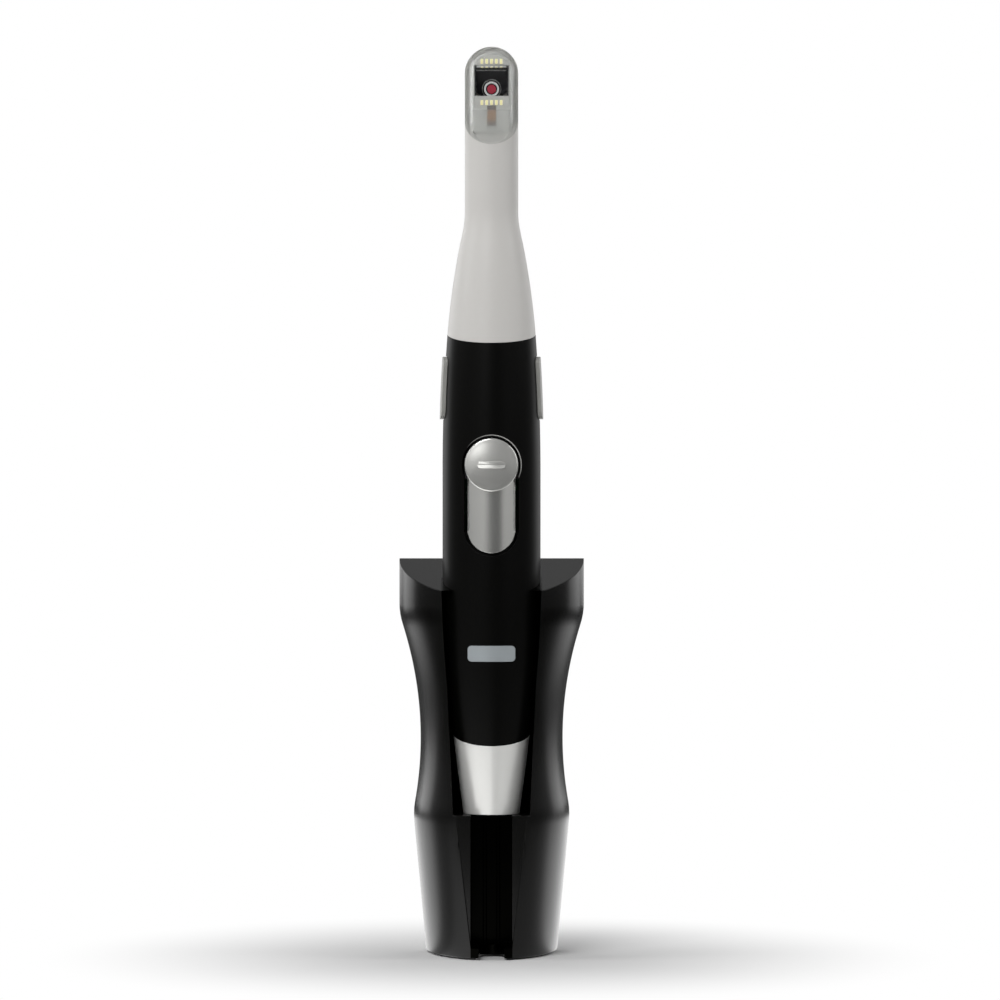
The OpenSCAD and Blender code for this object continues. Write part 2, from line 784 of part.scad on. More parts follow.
// Flared faces in front of the seat: as wide as the mouth at the seat, down to the slot at the floor
flare_inset = 0.7;
flare_half = mouth_w / 2 - flare_inset;
flare_y = -holder_depth * sqrt(1 - (2 * flare_half / holder_w(seat_z)) ^ 2);
module flare(grow) {
    low = slot_w / 2 + grow;
    high = flare_half + grow;
    translate([0, flare_y + grow, 0]) rotate([90, 0, 0]) linear_extrude(holder_depth)
        polygon([[-low, floor_top], [low, floor_top], [high, seat_z + fit], [-high, seat_z + fit]]);
}
module holder_hollow() {
    difference() {
        loft(floor_top, channel_top, holder_wall, 1);
        above(holder_h - lid_drop, top_slope);
        channel(seat_z - seat_t, holder_wall);
        slot(holder_wall, 0, seat_z);
        flare(holder_wall);
        for (p = BOSSES) translate([p[0], 0, 0]) disc_y(boss_d, p[1], -holder_depth, -plate_thick);
    }
}
module holder_shell() {
    color([0.08, 0.08, 0.08]) in_holder() {
        difference() {
            loft(pad_rise, channel_top, 0, 0);
            above(holder_h, top_slope);
            holder_hollow();
            channel(seat_z, 0);
            slot(0, floor_top, seat_z + 1);
            flare(0);
            floor_notch(0, 0);
            for (p = BOSSES) translate([p[0], 0, 0])
                disc_y(back_screw_d + 2 * slip, p[1], -back_screw_l - 1, 1);
        }
        for (x = [-rib_x, rib_x]) translate([x, 0, 0])
            block(rib_w, slot_back - axis_back - rib_h, slot_back - axis_back + 0.1, floor_top - 0.1, seat_z - seat_t);
    }
}
module floor_notch(grow, z0) {
    w = notch_w + 2 * grow;
    y = notch_l - holder_depth - notch_w / 2;
    translate([0, y, z0 - 1]) cylinder(d = w, h = floor_top + 2);
    block(w, -2 * holder_depth, y, z0 - 1, z0 + floor_top + 1);
}
module back_plate() {
    low = floor_top + fit;
    high = holder_h - lid_drop - plate_thick * tan(top_slope) - fit;
    zs = levels(low, high);
    edge = [for (z = zs) [holder_w(z) / 2 - holder_wall - fit, z]];
    color([0.12, 0.12, 0.12]) in_holder() difference() {
        rotate([90, 0, 0]) linear_extrude(plate_thick)
            polygon(concat(edge, [for (i = [len(edge) - 1:-1:0]) [-edge[i][0], edge[i][1]]]));
        for (p = BOSSES) translate([p[0], 0, 0]) {
            disc_y(back_screw_d + 2 * slip, p[1], -big / 8, 1);
            disc_y(back_head_d + 2 * slip, p[1], -plate_thick / 2, 1);
        }
    }
}
module back_screws() {
    color([0.6, 0.6, 0.6]) in_holder() for (p = BOSSES) translate([p[0], 0, 0]) {
        disc_y(back_head_d, p[1], -plate_thick / 2, 0);
        disc_y(back_screw_d, p[1], -back_screw_l, -plate_thick / 4);
    }
}
pad_inset = 0.8;
module foot_pad() {
    color([0.12, 0.12, 0.12]) in_holder() difference() {
        linear_extrude(pad_rise) polygon(plan(foot_w - 2 * pad_inset, pad_inset, 0));
        floor_notch(pad_inset, 0);
    }
}

head_shell();
front_window();
window_seal();
led_board();
for (i = [1:led_count]) led(i - 1, led_upper_z);
for (i = [1:led_count]) led(i - 1, led_lower_z);
led_flex();
mirror_box();
fold_mirror();
lens_barrel();
lens_retainer();
front_lens();
rear_lens();
focus_knob();
knob_shoe();
focus_rod();
sensor_carriage();
sensor_board();
image_sensor();
grip_shell();
badge();
track_plate();
chassis();
main_board();
board_screws();
processor_chip();
memory_chip();
rod_guide();
left_button();
right_button();
left_plunger();
right_plunger();
left_switch();
right_switch();
tail_sleeve();
connector_shell();
connector_insert();
contact_sockets();
connector_nut();
holder_shell();
back_plate();
back_screws();
foot_pad();
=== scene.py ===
import math

import bmesh
import bpy
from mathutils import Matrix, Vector


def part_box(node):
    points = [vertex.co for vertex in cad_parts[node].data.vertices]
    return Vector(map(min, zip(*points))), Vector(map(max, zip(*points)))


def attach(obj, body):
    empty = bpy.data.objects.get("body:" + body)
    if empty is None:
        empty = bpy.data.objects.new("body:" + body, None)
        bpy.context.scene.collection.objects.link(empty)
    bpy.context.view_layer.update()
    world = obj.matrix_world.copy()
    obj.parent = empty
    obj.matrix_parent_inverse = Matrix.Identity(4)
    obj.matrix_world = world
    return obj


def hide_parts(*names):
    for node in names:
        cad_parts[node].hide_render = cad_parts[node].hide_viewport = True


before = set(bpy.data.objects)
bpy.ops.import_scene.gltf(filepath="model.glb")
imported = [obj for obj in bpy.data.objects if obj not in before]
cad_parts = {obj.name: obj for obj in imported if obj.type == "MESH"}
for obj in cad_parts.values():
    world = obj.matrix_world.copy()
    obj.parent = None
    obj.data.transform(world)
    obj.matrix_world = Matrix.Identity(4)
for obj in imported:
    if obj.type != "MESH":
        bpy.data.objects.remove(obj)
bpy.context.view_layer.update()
scene = bpy.context.scene
scene.view_settings.view_transform = "Standard"
MM = 0.001

# Camera
# A long lens in front of the wand, level with its middle, as a product photographer sets it up.
# The wand axis stands a little left of the middle of the frame.
grip_low, grip_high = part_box("grip_shell")
axis_y = (grip_low.y + grip_high.y) / 2
tail_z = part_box("tail_sleeve")[0].z
camera_distance = 1200 * MM
camera_height = 118.5 * MM
camera_side = 2.2 * MM
camera_data = bpy.data.cameras.new("camera")
camera_data.sensor_width = 36
camera_data.lens = 166.2
camera = bpy.data.objects.new("camera", camera_data)
scene.collection.objects.link(camera)
camera.location = (camera_side, axis_y - camera_distance, camera_height)
camera.rotation_euler = (math.radians(90), 0, 0)
scene.camera = camera


# Room
# A pale sweep behind the object, grey walls at both sides, and a dark gap between two pale panels where
# the camera stands. All of it gets darker towards the ceiling. Metal and gloss show these as bands.
def feed(node, inputs):
    """Gives a node its inputs: values, outputs of other nodes, or nodes for their first output."""
    for socket, given in inputs.items():
        if isinstance(given, bpy.types.Node):
            given = given.outputs[0]
        if isinstance(given, bpy.types.NodeSocket):
            node.id_data.links.new(given, node.inputs[socket])
        else:
            node.inputs[socket].default_value = given


def new_node(tree, kind, inputs=(), **settings):
    """A new node in a tree, set up and fed."""
    node = tree.nodes.new(kind)
    for setting, choice in settings.items():
        setattr(node, setting, choice)
    feed(node, dict(inputs))
    return node


def colour_ramp(tree, source, stops):
    """Colours along a value; stops are (position, colour)."""
    ramp = new_node(tree, "ShaderNodeValToRGB", {0: source})
    elements = ramp.color_ramp.elements
    while len(elements) < len(stops):
        elements.new(0.5)
    for element, (position, colour) in zip(elements, stops):
        element.position = position
        element.color = (*colour, 1)
    return ramp


def new_group(name, given, results):
    """An empty node group with inputs and outputs by name and kind; gives it with both its end nodes."""
    group = bpy.data.node_groups.new(name, "ShaderNodeTree")
    for direction, sockets in (("INPUT", given), ("OUTPUT", results)):
        for socket, kind in sockets.items():
            group.interface.new_socket(socket, in_out=direction, socket_type=f"NodeSocket{kind}")
    return group, group.nodes.new("NodeGroupInput").outputs, group.nodes.new("NodeGroupOutput")


def bearing_group():
    """Turns a direction or place into its bearing round the object: 0.5 is in front, 0 and 1 behind."""
    group, given, result = new_group("bearing", {"Vector": "Vector"}, {"Turn": "Float"})
    place = new_node(group, "ShaderNodeSeparateXYZ", {0: given["Vector"]})
    front = new_node(group, "ShaderNodeMath", {0: place.outputs["Y"], 1: -1}, operation="MULTIPLY")
    angle = new_node(group, "ShaderNodeMath", {0: place.outputs["X"], 1: front}, operation="ARCTAN2")
    share = {0: angle, 1: 1 / math.tau, 2: 0.5}
    feed(result, {"Turn": new_node(group, "ShaderNodeMath", share, operation="MULTIPLY_ADD")})
    return group


bearing = bearing_group()


def bearing_ramp(tree, source, stops):
    """A grey level for each bearing; stops are (degrees right of the camera, level)."""
    turn = new_node(tree, "ShaderNodeGroup", node_tree=bearing)
    feed(turn, {"Vector": source})
    return colour_ramp(tree, turn, [(degrees / 360 + 0.5, (level,) * 3) for degrees, level in stops])


WALLS = [
    (-180, 0.7), (-135, 0.7), (-118, 0.3), (-64, 0.3), (-45, 0.52), (-18, 0.5), (-3, 0.13),
    (20, 0.1), (28, 0.56), (50, 0.54), (66, 0.28), (118, 0.28), (135, 0.7), (180, 0.7),
]
world = bpy.data.worlds.new("studio")
scene.world = world
world.use_nodes = True
room = world.node_tree
room.nodes.clear()
direction = new_node(room, "ShaderNodeTexCoord").outputs["Generated"]
upward = new_node(room, "ShaderNodeSeparateXYZ", {0: direction}).outputs["Z"]
ceiling = {"Value": upward, "From Min": 0.15, "From Max": 0.55, "To Min": 1.15, "To Max": 0.5}
room_light = new_node(room, "ShaderNodeBackground", {
    "Color": bearing_ramp(room, direction, WALLS),
    "Strength": new_node(room, "ShaderNodeMapRange", ceiling),
})
room_white = new_node(room, "ShaderNodeBackground", {"Color": (1, 1, 1, 1)})
room_seen = new_node(room, "ShaderNodeLightPath").outputs["Is Camera Ray"]
room_mix = new_node(room, "ShaderNodeMixShader", {0: room_seen, 1: room_light, 2: room_white})
new_node(room, "ShaderNodeOutputWorld", {"Surface": room_mix})

# Floor
# A white table that runs on into the sweep. The camera sees it fade to plain white round the object's
# shadow. Metal and gloss see it bright out to a ring, most of all to the front left and behind.
TABLE = [
    (-180, 1.0), (-122, 1.0), (-108, 0.3), (-92, 0.3), (-78, 0.7), (-54, 1.0), (1, 1.0),
    (5, 0.15), (22, 0.15), (30, 0.4), (90, 0.3), (105, 0.4), (120, 1.0), (180, 1.0),
]
TABLE_RINGS = [(0.0, 1.0), (0.32, 1.0), (0.37, 0.35), (0.45, 0.04), (1.0, 0.04)]
rings_middle = (0, 0.17, 0)
rings_strength = 1.6
shadow_from, shadow_to = 0.02, 0.12
floor_bm = bmesh.new()
bmesh.ops.create_grid(floor_bm, x_segments=1, y_segments=1, size=3)
floor_mesh = bpy.data.meshes.new("floor")
floor_bm.to_mesh(floor_mesh)
floor_bm.free()
floor = bpy.data.objects.new("floor", floor_mesh)
scene.collection.objects.link(floor)
floor_white = bpy.data.materials.new("floor_white")
floor_white.use_nodes = True
floor_mesh.materials.append(floor_white)
table = floor_white.node_tree
table_shader = table.nodes["Principled BSDF"]
feed(table_shader, {"Base Color": (0.85, 0.85, 0.85, 1), "Roughness": 0.9, "Specular IOR Level": 0.1})
table_place = new_node(table, "ShaderNodeTexCoord").outputs["Object"]
table_path = new_node(table, "ShaderNodeLightPath").outputs
away = new_node(table, "ShaderNodeVectorMath", {0: table_place}, operation="LENGTH").outputs["Value"]
fade = {"Value": away, "From Min": shadow_from, "From Max": shadow_to}
faded = new_node(table, "ShaderNodeMapRange", fade, interpolation_type="SMOOTHSTEP")
fade_seen = {0: faded, 1: table_path["Is Camera Ray"]}
table_seen = new_node(table, "ShaderNodeMixShader", {
    0: new_node(table, "ShaderNodeMath", fade_seen, operation="MULTIPLY"),
    1: table_shader, 2: new_node(table, "ShaderNodeEmission"),
})
out_from = {0: table_place, 1: rings_middle}
outward = new_node(table, "ShaderNodeVectorMath", out_from, operation="DISTANCE").outputs["Value"]
ring_greys = colour_ramp(table, outward, [(share, (level,) * 3) for share, level in TABLE_RINGS])
rings = {0: ring_greys, 1: rings_strength}
table_mirrored = new_node(table, "ShaderNodeEmission", {
    "Color": bearing_ramp(table, table_place, TABLE),
    "Strength": new_node(table, "ShaderNodeMath", rings, operation="MULTIPLY"),
})
glossy = {0: table_path["Is Glossy Ray"], 1: table_seen, 2: table_mirrored}
feed(table.nodes["Material Output"], {"Surface": new_node(table, "ShaderNodeMixShader", glossy)})


# Lamps
# Soft boxes high in front and at both sides light the object. A weak one beside the camera and a tall
# weak one behind each side add soft bands to gloss and metal.
def soft_box(name, place, target, width, height, watts):
    """A rectangular lamp turned to a target."""
    data = bpy.data.lights.new(name, "AREA")
    data.shape = "RECTANGLE"
    data.size = width
    data.size_y = height
    data.energy = watts
    lamp = bpy.data.objects.new(name, data)
    scene.collection.objects.link(lamp)
    lamp.location = place
    aim = Vector(target) - Vector(place)
    lamp.rotation_euler = aim.to_track_quat("-Z", "Y").to_euler()


middle = (0, axis_y, 120 * MM)
for name, place, width, height, watts in [
    ("front_box", (-0.35, -0.75, 1.05), 0.5, 0.5, 5.5),
    ("left_box", (-0.95, -0.1, 0.75), 0.4, 0.6, 2.2),
    ("right_box", (0.95, -0.15, 0.75), 0.4, 0.6, 1.8),
    ("near_box", (-0.27, -1.05, 0.47), 0.3, 0.3, 0.6),
    ("left_rim", (-0.75, 0.75, 0.3), 0.5, 0.9, 1.5),
    ("right_rim", (0.75, 0.75, 0.3), 0.5, 0.9, 1),
]:
    soft_box(name, place, middle, width, height, watts)

# Head shell and neck
# One slim casting from the border of the grip to the tip, painted satin silver white.
# Its front is cut away for the window, and a spigot at its foot is pushed into the grip.
window_box_low, window_box_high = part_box("front_window")
tip_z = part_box("head_shell")[1].z
head_r = (window_box_high.x - window_box_low.x) / 2
grip_r = (grip_high.x - grip_low.x) / 2
tail_r = 7.3 * MM
neck_border = tail_z + 124.4 * MM
neck_slant = math.radians(12.5)
tail_border = tail_z + 20.7 * MM
tail_slant = math.radians(16.3)
neck_low = neck_border - 1 * MM
# Height, radius and slope of the radius, as in the solids
STATIONS = [
    (tail_z, tail_r, 0.128),
    (tail_border, tail_r + 2.65 * MM, 0.11),
    (tail_border + 47.2 * MM, grip_r, 0),
    (neck_border - 36.5 * MM, grip_r, 0),
    (neck_low, grip_r - 1.2 * MM, -0.075),
    (neck_low + 23 * MM, head_r + 1.56 * MM, -0.19),
    (neck_low + 32.5 * MM, head_r, 0),
]
dome_z = tip_z - head_r
seam_y = 0.3 * MM
seam_z = tip_z - 19.3 * MM
window_low = tip_z - 25.8 * MM
flat_y = 5.2 * MM
flat_low = window_low + 3 * MM
flat_foot = window_low - 1 * MM
flat_foot_y = head_r + 0.56 * MM
head_wall = 1.2 * MM
grip_wall = 1.6 * MM
fit = 0.1 * MM
spigot_out = grip_wall + fit
spigot_in = spigot_out + 1 * MM
collar = 2 * MM
neck_dip = grip_r * math.tan(neck_slant)
tail_dip = grip_r * math.tan(tail_slant)
collar_z = neck_border + neck_dip + collar
far = 60 * MM


def wand_radius(z):
    """The radius of the wand at a height, a smooth curve through the stations."""
    if z <= STATIONS[0][0]:
        return STATIONS[0][1] + (z - STATIONS[0][0]) * STATIONS[0][2]
    for (z0, r0, s0), (z1, r1, s1) in zip(STATIONS, STATIONS[1:]):
        if z <= z1:
            h = z1 - z0
            t = (z - z0) / h
            start = (2 * t**3 - 3 * t**2 + 1) * r0 + (t**3 - 2 * t**2 + t) * h * s0
            return start + (3 * t**2 - 2 * t**3) * r1 + (t**3 - t**2) * h * s1
    return head_r


def wand_outline(z0, z1, inset=0.0):
    """Points up the side of the wand as radius and height, moved in by the inset."""
    step = 1.2 * MM
    count = max(2, math.ceil((z1 - z0) / step))
    heights = [z0 + (z1 - z0) * i / count for i in range(count + 1)]
    return [(wand_radius(z) - inset, z) for z in heights]


def spun(points, steps=112, closed=False):
    """A surface turned round the wand axis from points given as radius and height."""
    bm = bmesh.new()
    verts = [bm.verts.new((r, 0, z)) for r, z in points]
    edges = [bm.edges.new(pair) for pair in zip(verts, verts[1:])]
    if closed:
        edges.append(bm.edges.new((verts[-1], verts[0])))
    bmesh.ops.spin(
        bm, geom=verts + edges, cent=(0, 0, 0), axis=(0, 0, 1),
        angle=math.tau, steps=steps, use_merge=True,
    )
    bmesh.ops.remove_doubles(bm, verts=bm.verts, dist=1e-6)
    bmesh.ops.recalc_face_normals(bm, faces=bm.faces)
    bmesh.ops.translate(bm, verts=bm.verts, vec=(0, axis_y, 0))
    return bm


def wand_body(z0, z1, inset=0.0):
    """A solid stretch of the wand, moved in by the inset."""
    return spun([(0, z0)] + wand_outline(z0, z1, inset) + [(0, z1)])


def wand_ring(z0, z1, outer, inner):
    """A tube that follows the wand between two insets."""
    return spun(wand_outline(z0, z1, outer) + wand_outline(z0, z1, inner)[::-1], closed=True)


def prism(points, sweep):
    """A closed block: a flat outline of points, pushed along a vector."""
    bm = bmesh.new()
    base = bm.faces.new([bm.verts.new(p) for p in points])
    grown = bmesh.ops.extrude_face_region(bm, geom=[base])
    moved = [v for v in grown["geom"] if isinstance(v, bmesh.types.BMVert)]
    bmesh.ops.translate(bm, verts=moved, vec=sweep)
    bmesh.ops.recalc_face_normals(bm, faces=bm.faces)
    return bm


def side_prism(outline, half=far):
    """A block across the wand from an outline of depth and height, depth counted from the axis."""
    return prism([(-half, axis_y + y, z) for y, z in outline], (2 * half, 0, 0))


def above(z, slant):
    """All that lies above a border plane, which is lower at the front."""
    rise = far * math.tan(slant)
    top = tip_z + far
    return side_prism([(-far, z - rise), (far, z + rise), (far, top), (-far, top)])


def in_order(mesh):
    """The mesh with its points and faces ordered by place, because a cut gives them in any order."""
    spots = [vert.co[:] for vert in mesh.vertices]
    around = [[] for _ in spots]
    for polygon in mesh.polygons:
        corners = sorted(spots[i] for i in polygon.vertices)
        for i in polygon.vertices:
            around[i].append(corners)
    order = sorted(range(len(spots)), key=lambda i: (spots[i], sorted(around[i])))
    rank = {i: place for place, i in enumerate(order)}
    outlines = []
    for polygon in mesh.polygons:
        outline = [rank[i] for i in polygon.vertices]
        first = outline.index(min(outline))
        outlines.append(outline[first:] + outline[:first])
    bm = bmesh.new()
    verts = [bm.verts.new(spots[i]) for i in order]
    for outline in sorted(outlines):
        bm.faces.new([verts[i] for i in outline])
    return bm


def shaped(bm, tool_bm, operation="DIFFERENCE"):
    """The first mesh with the second cut away, joined on or kept in common; both are used up."""
    pair = []
    for part_bm in (bm, tool_bm):
        mesh = bpy.data.meshes.new("shaping")
        part_bm.to_mesh(mesh)
        part_bm.free()
        part = bpy.data.objects.new("shaping", mesh)
        scene.collection.objects.link(part)
        pair.append(part)
    boolean = pair[0].modifiers.new("shaping", "BOOLEAN")
    boolean.object = pair[1]
    boolean.operation = operation
    boolean.solver = "EXACT"
    bpy.context.view_layer.update()
    result = pair[0].evaluated_get(bpy.context.evaluated_depsgraph_get())
    out = in_order(result.to_mesh())
    result.to_mesh_clear()
    for part in pair:
        mesh = part.data
        bpy.data.objects.remove(part)
        bpy.data.meshes.remove(mesh)
    bmesh.ops.remove_doubles(out, verts=out.verts, dist=0.01 * MM)
    bmesh.ops.dissolve_degenerate(out, edges=out.edges, dist=0.01 * MM)
    return out


def made_piece(bm, name, material, body="root", nodes=(), edge=0.0, segments=2):
    """Hands the mesh to an object that rides on a body, stands for solids and has soft edges."""
    sharp = math.radians(32)
    if edge:
        bmesh.ops.remove_doubles(bm, verts=bm.verts, dist=0.7 * edge)
        bmesh.ops.dissolve_degenerate(bm, edges=bm.edges, dist=0.01 * MM)
    mesh = bpy.data.meshes.new(name)
    bm.to_mesh(mesh)
    bm.free()
    mesh.polygons.foreach_set("use_smooth", [True] * len(mesh.polygons))
    mesh.set_sharp_from_angle(angle=sharp)
    mesh.materials.append(material)
    piece = bpy.data.objects.new(name, mesh)
    scene.collection.objects.link(piece)
    if edge:
        rounding = piece.modifiers.new("soft_edge", "BEVEL")
        rounding.width = edge
        rounding.segments = segments
        rounding.limit_method = "ANGLE"
        rounding.angle_limit = sharp
        rounding.use_clamp_overlap = False
        rounding.harden_normals = True
    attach(piece, body)
    if nodes:
        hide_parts(*nodes)
    return piece


def grain_group():
    """Fine moulded or sprayed grain: a height for bump and a small shift of roughness."""
    group, given, result = new_group(
        "fine_grain", {"Size": "Float", "Roughness": "Float", "Spread": "Float", "Stretch": "Vector"},
        {"Height": "Float", "Roughness": "Float"},
    )
    place = new_node(group, "ShaderNodeTexCoord").outputs["Object"]
    brushing = {0: place, 1: given["Stretch"]}
    drawn = new_node(group, "ShaderNodeVectorMath", brushing, operation="MULTIPLY")
    fine = new_node(group, "ShaderNodeTexNoise", {"Vector": drawn, "Scale": given["Size"], "Detail": 3})
    broad = new_node(group, "ShaderNodeTexNoise", {"Vector": place, "Scale": 70, "Detail": 3})
    centred = new_node(group, "ShaderNodeMath", {0: broad.outputs["Fac"], 1: 0.5}, operation="SUBTRACT")
    patchy = new_node(group, "ShaderNodeMath", {0: centred, 1: given["Spread"]}, operation="MULTIPLY")
    rough = new_node(group, "ShaderNodeMath", {0: patchy, 1: given["Roughness"]}, operation="ADD")
    feed(result, {"Height": fine.outputs["Fac"], "Roughness": rough})
    return group


fine_grain = grain_group()


def shader_of(material):
    """The Principled BSDF of a material."""
    return material.node_tree.nodes["Principled BSDF"]


def grained(
    name, colour, roughness, size=2500, depth=0.02, spread=0.08, metal=0.0, specular=0.5,
    stretch=(1, 1, 1),
):
    """A finish with fine grain: size is the grain's scale, depth its bump, stretch its brushing."""
    material = bpy.data.materials.new(name)
    material.use_nodes = True
    tree = material.node_tree
    grain = new_node(tree, "ShaderNodeGroup", node_tree=fine_grain)
    feed(grain, {"Size": size, "Roughness": roughness, "Spread": spread, "Stretch": stretch})
    bump = {"Height": grain.outputs["Height"], "Strength": depth, "Distance": 0.1 * MM}
    feed(shader_of(material), {
        "Base Color": (*colour, 1), "Metallic": metal, "Specular IOR Level": specular,
        "Roughness": grain.outputs["Roughness"], "Normal": new_node(tree, "ShaderNodeBump", bump),
    })
    return material


def zone_group():
    """How far a point lies from a centre, stretched by axis, as a round and as a square distance."""
    group, given, result = new_group(
        "zone", {"Centre": "Vector", "Stretch": "Vector"}, {"Round": "Float", "Square": "Float"},
    )
    place = new_node(group, "ShaderNodeTexCoord").outputs["Object"]
    shift = new_node(group, "ShaderNodeVectorMath", {0: place, 1: given["Centre"]}, operation="SUBTRACT")
    drawn = new_node(group, "ShaderNodeVectorMath", {0: shift, 1: given["Stretch"]}, operation="MULTIPLY")
    length = new_node(group, "ShaderNodeVectorMath", {0: drawn}, operation="LENGTH")
    positive = new_node(group, "ShaderNodeVectorMath", {0: drawn}, operation="ABSOLUTE")
    x, y, z = new_node(group, "ShaderNodeSeparateXYZ", {0: positive}).outputs
    larger = new_node(group, "ShaderNodeMath", {0: x, 1: y}, operation="MAXIMUM")
    largest = new_node(group, "ShaderNodeMath", {0: larger, 1: z}, operation="MAXIMUM")
    feed(result, {"Round": length.outputs["Value"], "Square": largest})
    return group


zone = zone_group()


def zone_mask(material, centre, stretch, near, past, shape="Round", levels=(0, 1)):
    """A value that goes from the first level to the second between two distances from a centre."""
    spot = new_node(material.node_tree, "ShaderNodeGroup", node_tree=zone)
    feed(spot, {"Centre": centre, "Stretch": stretch})
    return new_node(material.node_tree, "ShaderNodeMapRange", {
        "Value": spot.outputs[shape], "From Min": near, "From Max": past,
        "To Min": levels[0], "To Max": levels[1],
    })


def two_tones(tree, mask, first, second):
    """A colour that goes from the first to the second with a mask."""
    blend = new_node(tree, "ShaderNodeMix", data_type="RGBA")
    feed(blend, {"Factor": mask, "A": (*first, 1), "B": (*second, 1)})
    return blend.outputs["Result"]


def head_solid(z0, inset):
    """The wand from a height to its tip, with the flat front of the window."""
    steps = 20
    r = head_r - inset
    turns = [math.pi / 2 * i / steps for i in range(1, steps)]
    dome = [(r * math.cos(a), dome_z + r * math.sin(a)) for a in turns]
    body = spun([(0, z0)] + wand_outline(z0, dome_z, inset) + dome + [(0, dome_z + r)])
    top = tip_z + far
    flat = [
        (inset - flat_y, top), (inset - flat_y, flat_low), (inset - flat_foot_y, flat_foot),
        (-far, flat_foot), (-far, top),
    ]
    return shaped(body, side_prism(flat))


def seam_side(inset):
    """All that lies in front of the seam between the window and the shell."""
    top = tip_z + far
    return side_prism([
        (seam_y - inset, top), (seam_y - inset, seam_z), (-head_r, window_low + inset),
        (-far, window_low + inset), (-far, top),
    ])


silver_paint = grained("silver_paint", (0.69, 0.675, 0.65), 0.4, size=5000, depth=0.06, spread=0.08)
spigot_z = neck_border - neck_dip - 1.5 * MM
head_bm = shaped(head_solid(neck_border - neck_dip, 0), above(neck_border, neck_slant), "INTERSECT")
head_bm = shaped(head_bm, wand_body(spigot_z, collar_z, spigot_out), "UNION")
head_bm = shaped(head_bm, wand_body(spigot_z - MM, collar_z + MM, spigot_in))
head_bm = shaped(head_bm, head_solid(collar_z, head_wall))
head_bm = shaped(head_bm, seam_side(0))
made_piece(head_bm, "head_casting", silver_paint, nodes=["head_shell"], edge=0.14 * MM)

# Front window
# A clear moulded cover over the lamps and the mirror, bonded to the head shell all round.
# Its inside is etched matt, except before the mirror and the lamps. Its lower edge runs out in a slope.
view_w = 8.9 * MM
view_high = tip_z - 5.1 * MM
view_low = view_high - 7.9 * MM
view_mid = (view_high + view_low) / 2
view_half = (view_high - view_low) / 2
lamp_room = 2.8 * MM
window_clear = bpy.data.materials.new("window_clear")
window_clear.use_nodes = True
clear_stretch = (2 / view_w, 0, 1 / (view_half + lamp_room))
etched = zone_mask(window_clear, (0, 0, view_mid), clear_stretch, 0.95, 1.25, "Square", (0.02, 0.42))
feed(shader_of(window_clear), {
    "Base Color": (0.95, 0.95, 0.93, 1), "Transmission Weight": 1, "IOR": 1.14, "Alpha": 0.5,
    "Roughness": etched,
})
seal_t = 0.25 * MM
window_bm = shaped(head_solid(window_low - 2 * MM, 0), seam_side(seal_t), "INTERSECT")
window_bm = shaped(window_bm, head_solid(window_low - 3 * MM, head_wall))
made_piece(
    window_bm, "window_cover", window_clear, nodes=["front_window"], edge=0.1 * MM,
)


def dress(names, material):
    """Gives solids that keep their shape a finish of their own."""
    for name in names:
        for material_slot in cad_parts[name].material_slots:
            material_slot.material = material


dress(["window_seal"], grained("seal_grey", (0.5, 0.5, 0.48), 0.55, size=1500, depth=0.05))

# Lamp board
# A pale circuit board right behind the window, with a row of five lamps above and below the opening.
# The cut edge of the opening is blackened. A skirt of the same board plastic lines the window.
# Its flex tail has bare copper in its middle.
led_row = range(1, 6)
led_pitch = 1.25 * MM
lamp_names = [f"led_{row}_{i}" for row in ("upper", "lower") for i in led_row]
board_back_y = axis_y - 2.4 * MM
board_tone = (0.66, 0.67, 0.65)
board_pale = grained("board_pale", board_tone, 0.5, size=900, depth=0.04, spread=0.1)
cut_middle = (0, board_back_y - head_r, view_mid)
cut_stretch = (2 / view_w, 1 / (head_r - 0.15 * MM), 1 / view_half)
cut_edge = zone_mask(board_pale, cut_middle, cut_stretch, 1.002, 1.01, "Square")
board_tones = two_tones(board_pale.node_tree, cut_edge, (0.012, 0.012, 0.012), board_tone)
feed(shader_of(board_pale), {"Base Color": board_tones})
dress(["led_board"], board_pale)
lamp_phosphor = bpy.data.materials.new("lamp_phosphor")
lamp_phosphor.use_nodes = True
lamp_tree = lamp_phosphor.node_tree
lamp_place = new_node(lamp_tree, "ShaderNodeTexCoord").outputs["Object"]
lamp_x = new_node(lamp_tree, "ShaderNodeSeparateXYZ", {0: lamp_place})
lamp_out = new_node(lamp_tree, "ShaderNodeMath", {0: lamp_x, 1: led_pitch / 2}, operation="PINGPONG")
lamp_edge = {"Value": lamp_out, "From Min": 0.18 * MM, "From Max": 0.3 * MM}
lamp_mask = new_node(lamp_tree, "ShaderNodeMapRange", lamp_edge)
lamp_tones = two_tones(lamp_tree, lamp_mask, (0.95, 0.86, 0.42), (0.85, 0.83, 0.7))
feed(shader_of(lamp_phosphor), {
    "Base Color": lamp_tones, "Roughness": 0.35, "Emission Color": lamp_tones, "Emission Strength": 0.35,
})
dress(lamp_names, lamp_phosphor)

flex_low, flex_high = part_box("led_flex")
bare_copper = (0.5, 0.36, 0.27)
flex_stops = [
    (0.2, (0.32, 0.31, 0.3)), (0.28, bare_copper), (0.72, bare_copper), (0.8, (0.3, 0.28, 0.27)),
]
flex_film = grained("flex_film", (0.3, 0.28, 0.26), 0.4, size=1200, depth=0.05)
flex_tree = flex_film.node_tree
flex_place = new_node(flex_tree, "ShaderNodeTexCoord").outputs["Object"]
flex_z = new_node(flex_tree, "ShaderNodeSeparateXYZ", {0: flex_place}).outputs["Z"]
flex_span = {"Value": flex_z, "From Min": flex_low.z, "From Max": flex_high.z}
flex_tones = colour_ramp(flex_tree, new_node(flex_tree, "ShaderNodeMapRange", flex_span), flex_stops)
feed(shader_of(flex_film), {"Base Color": flex_tones})
dress(["led_flex"], flex_film)

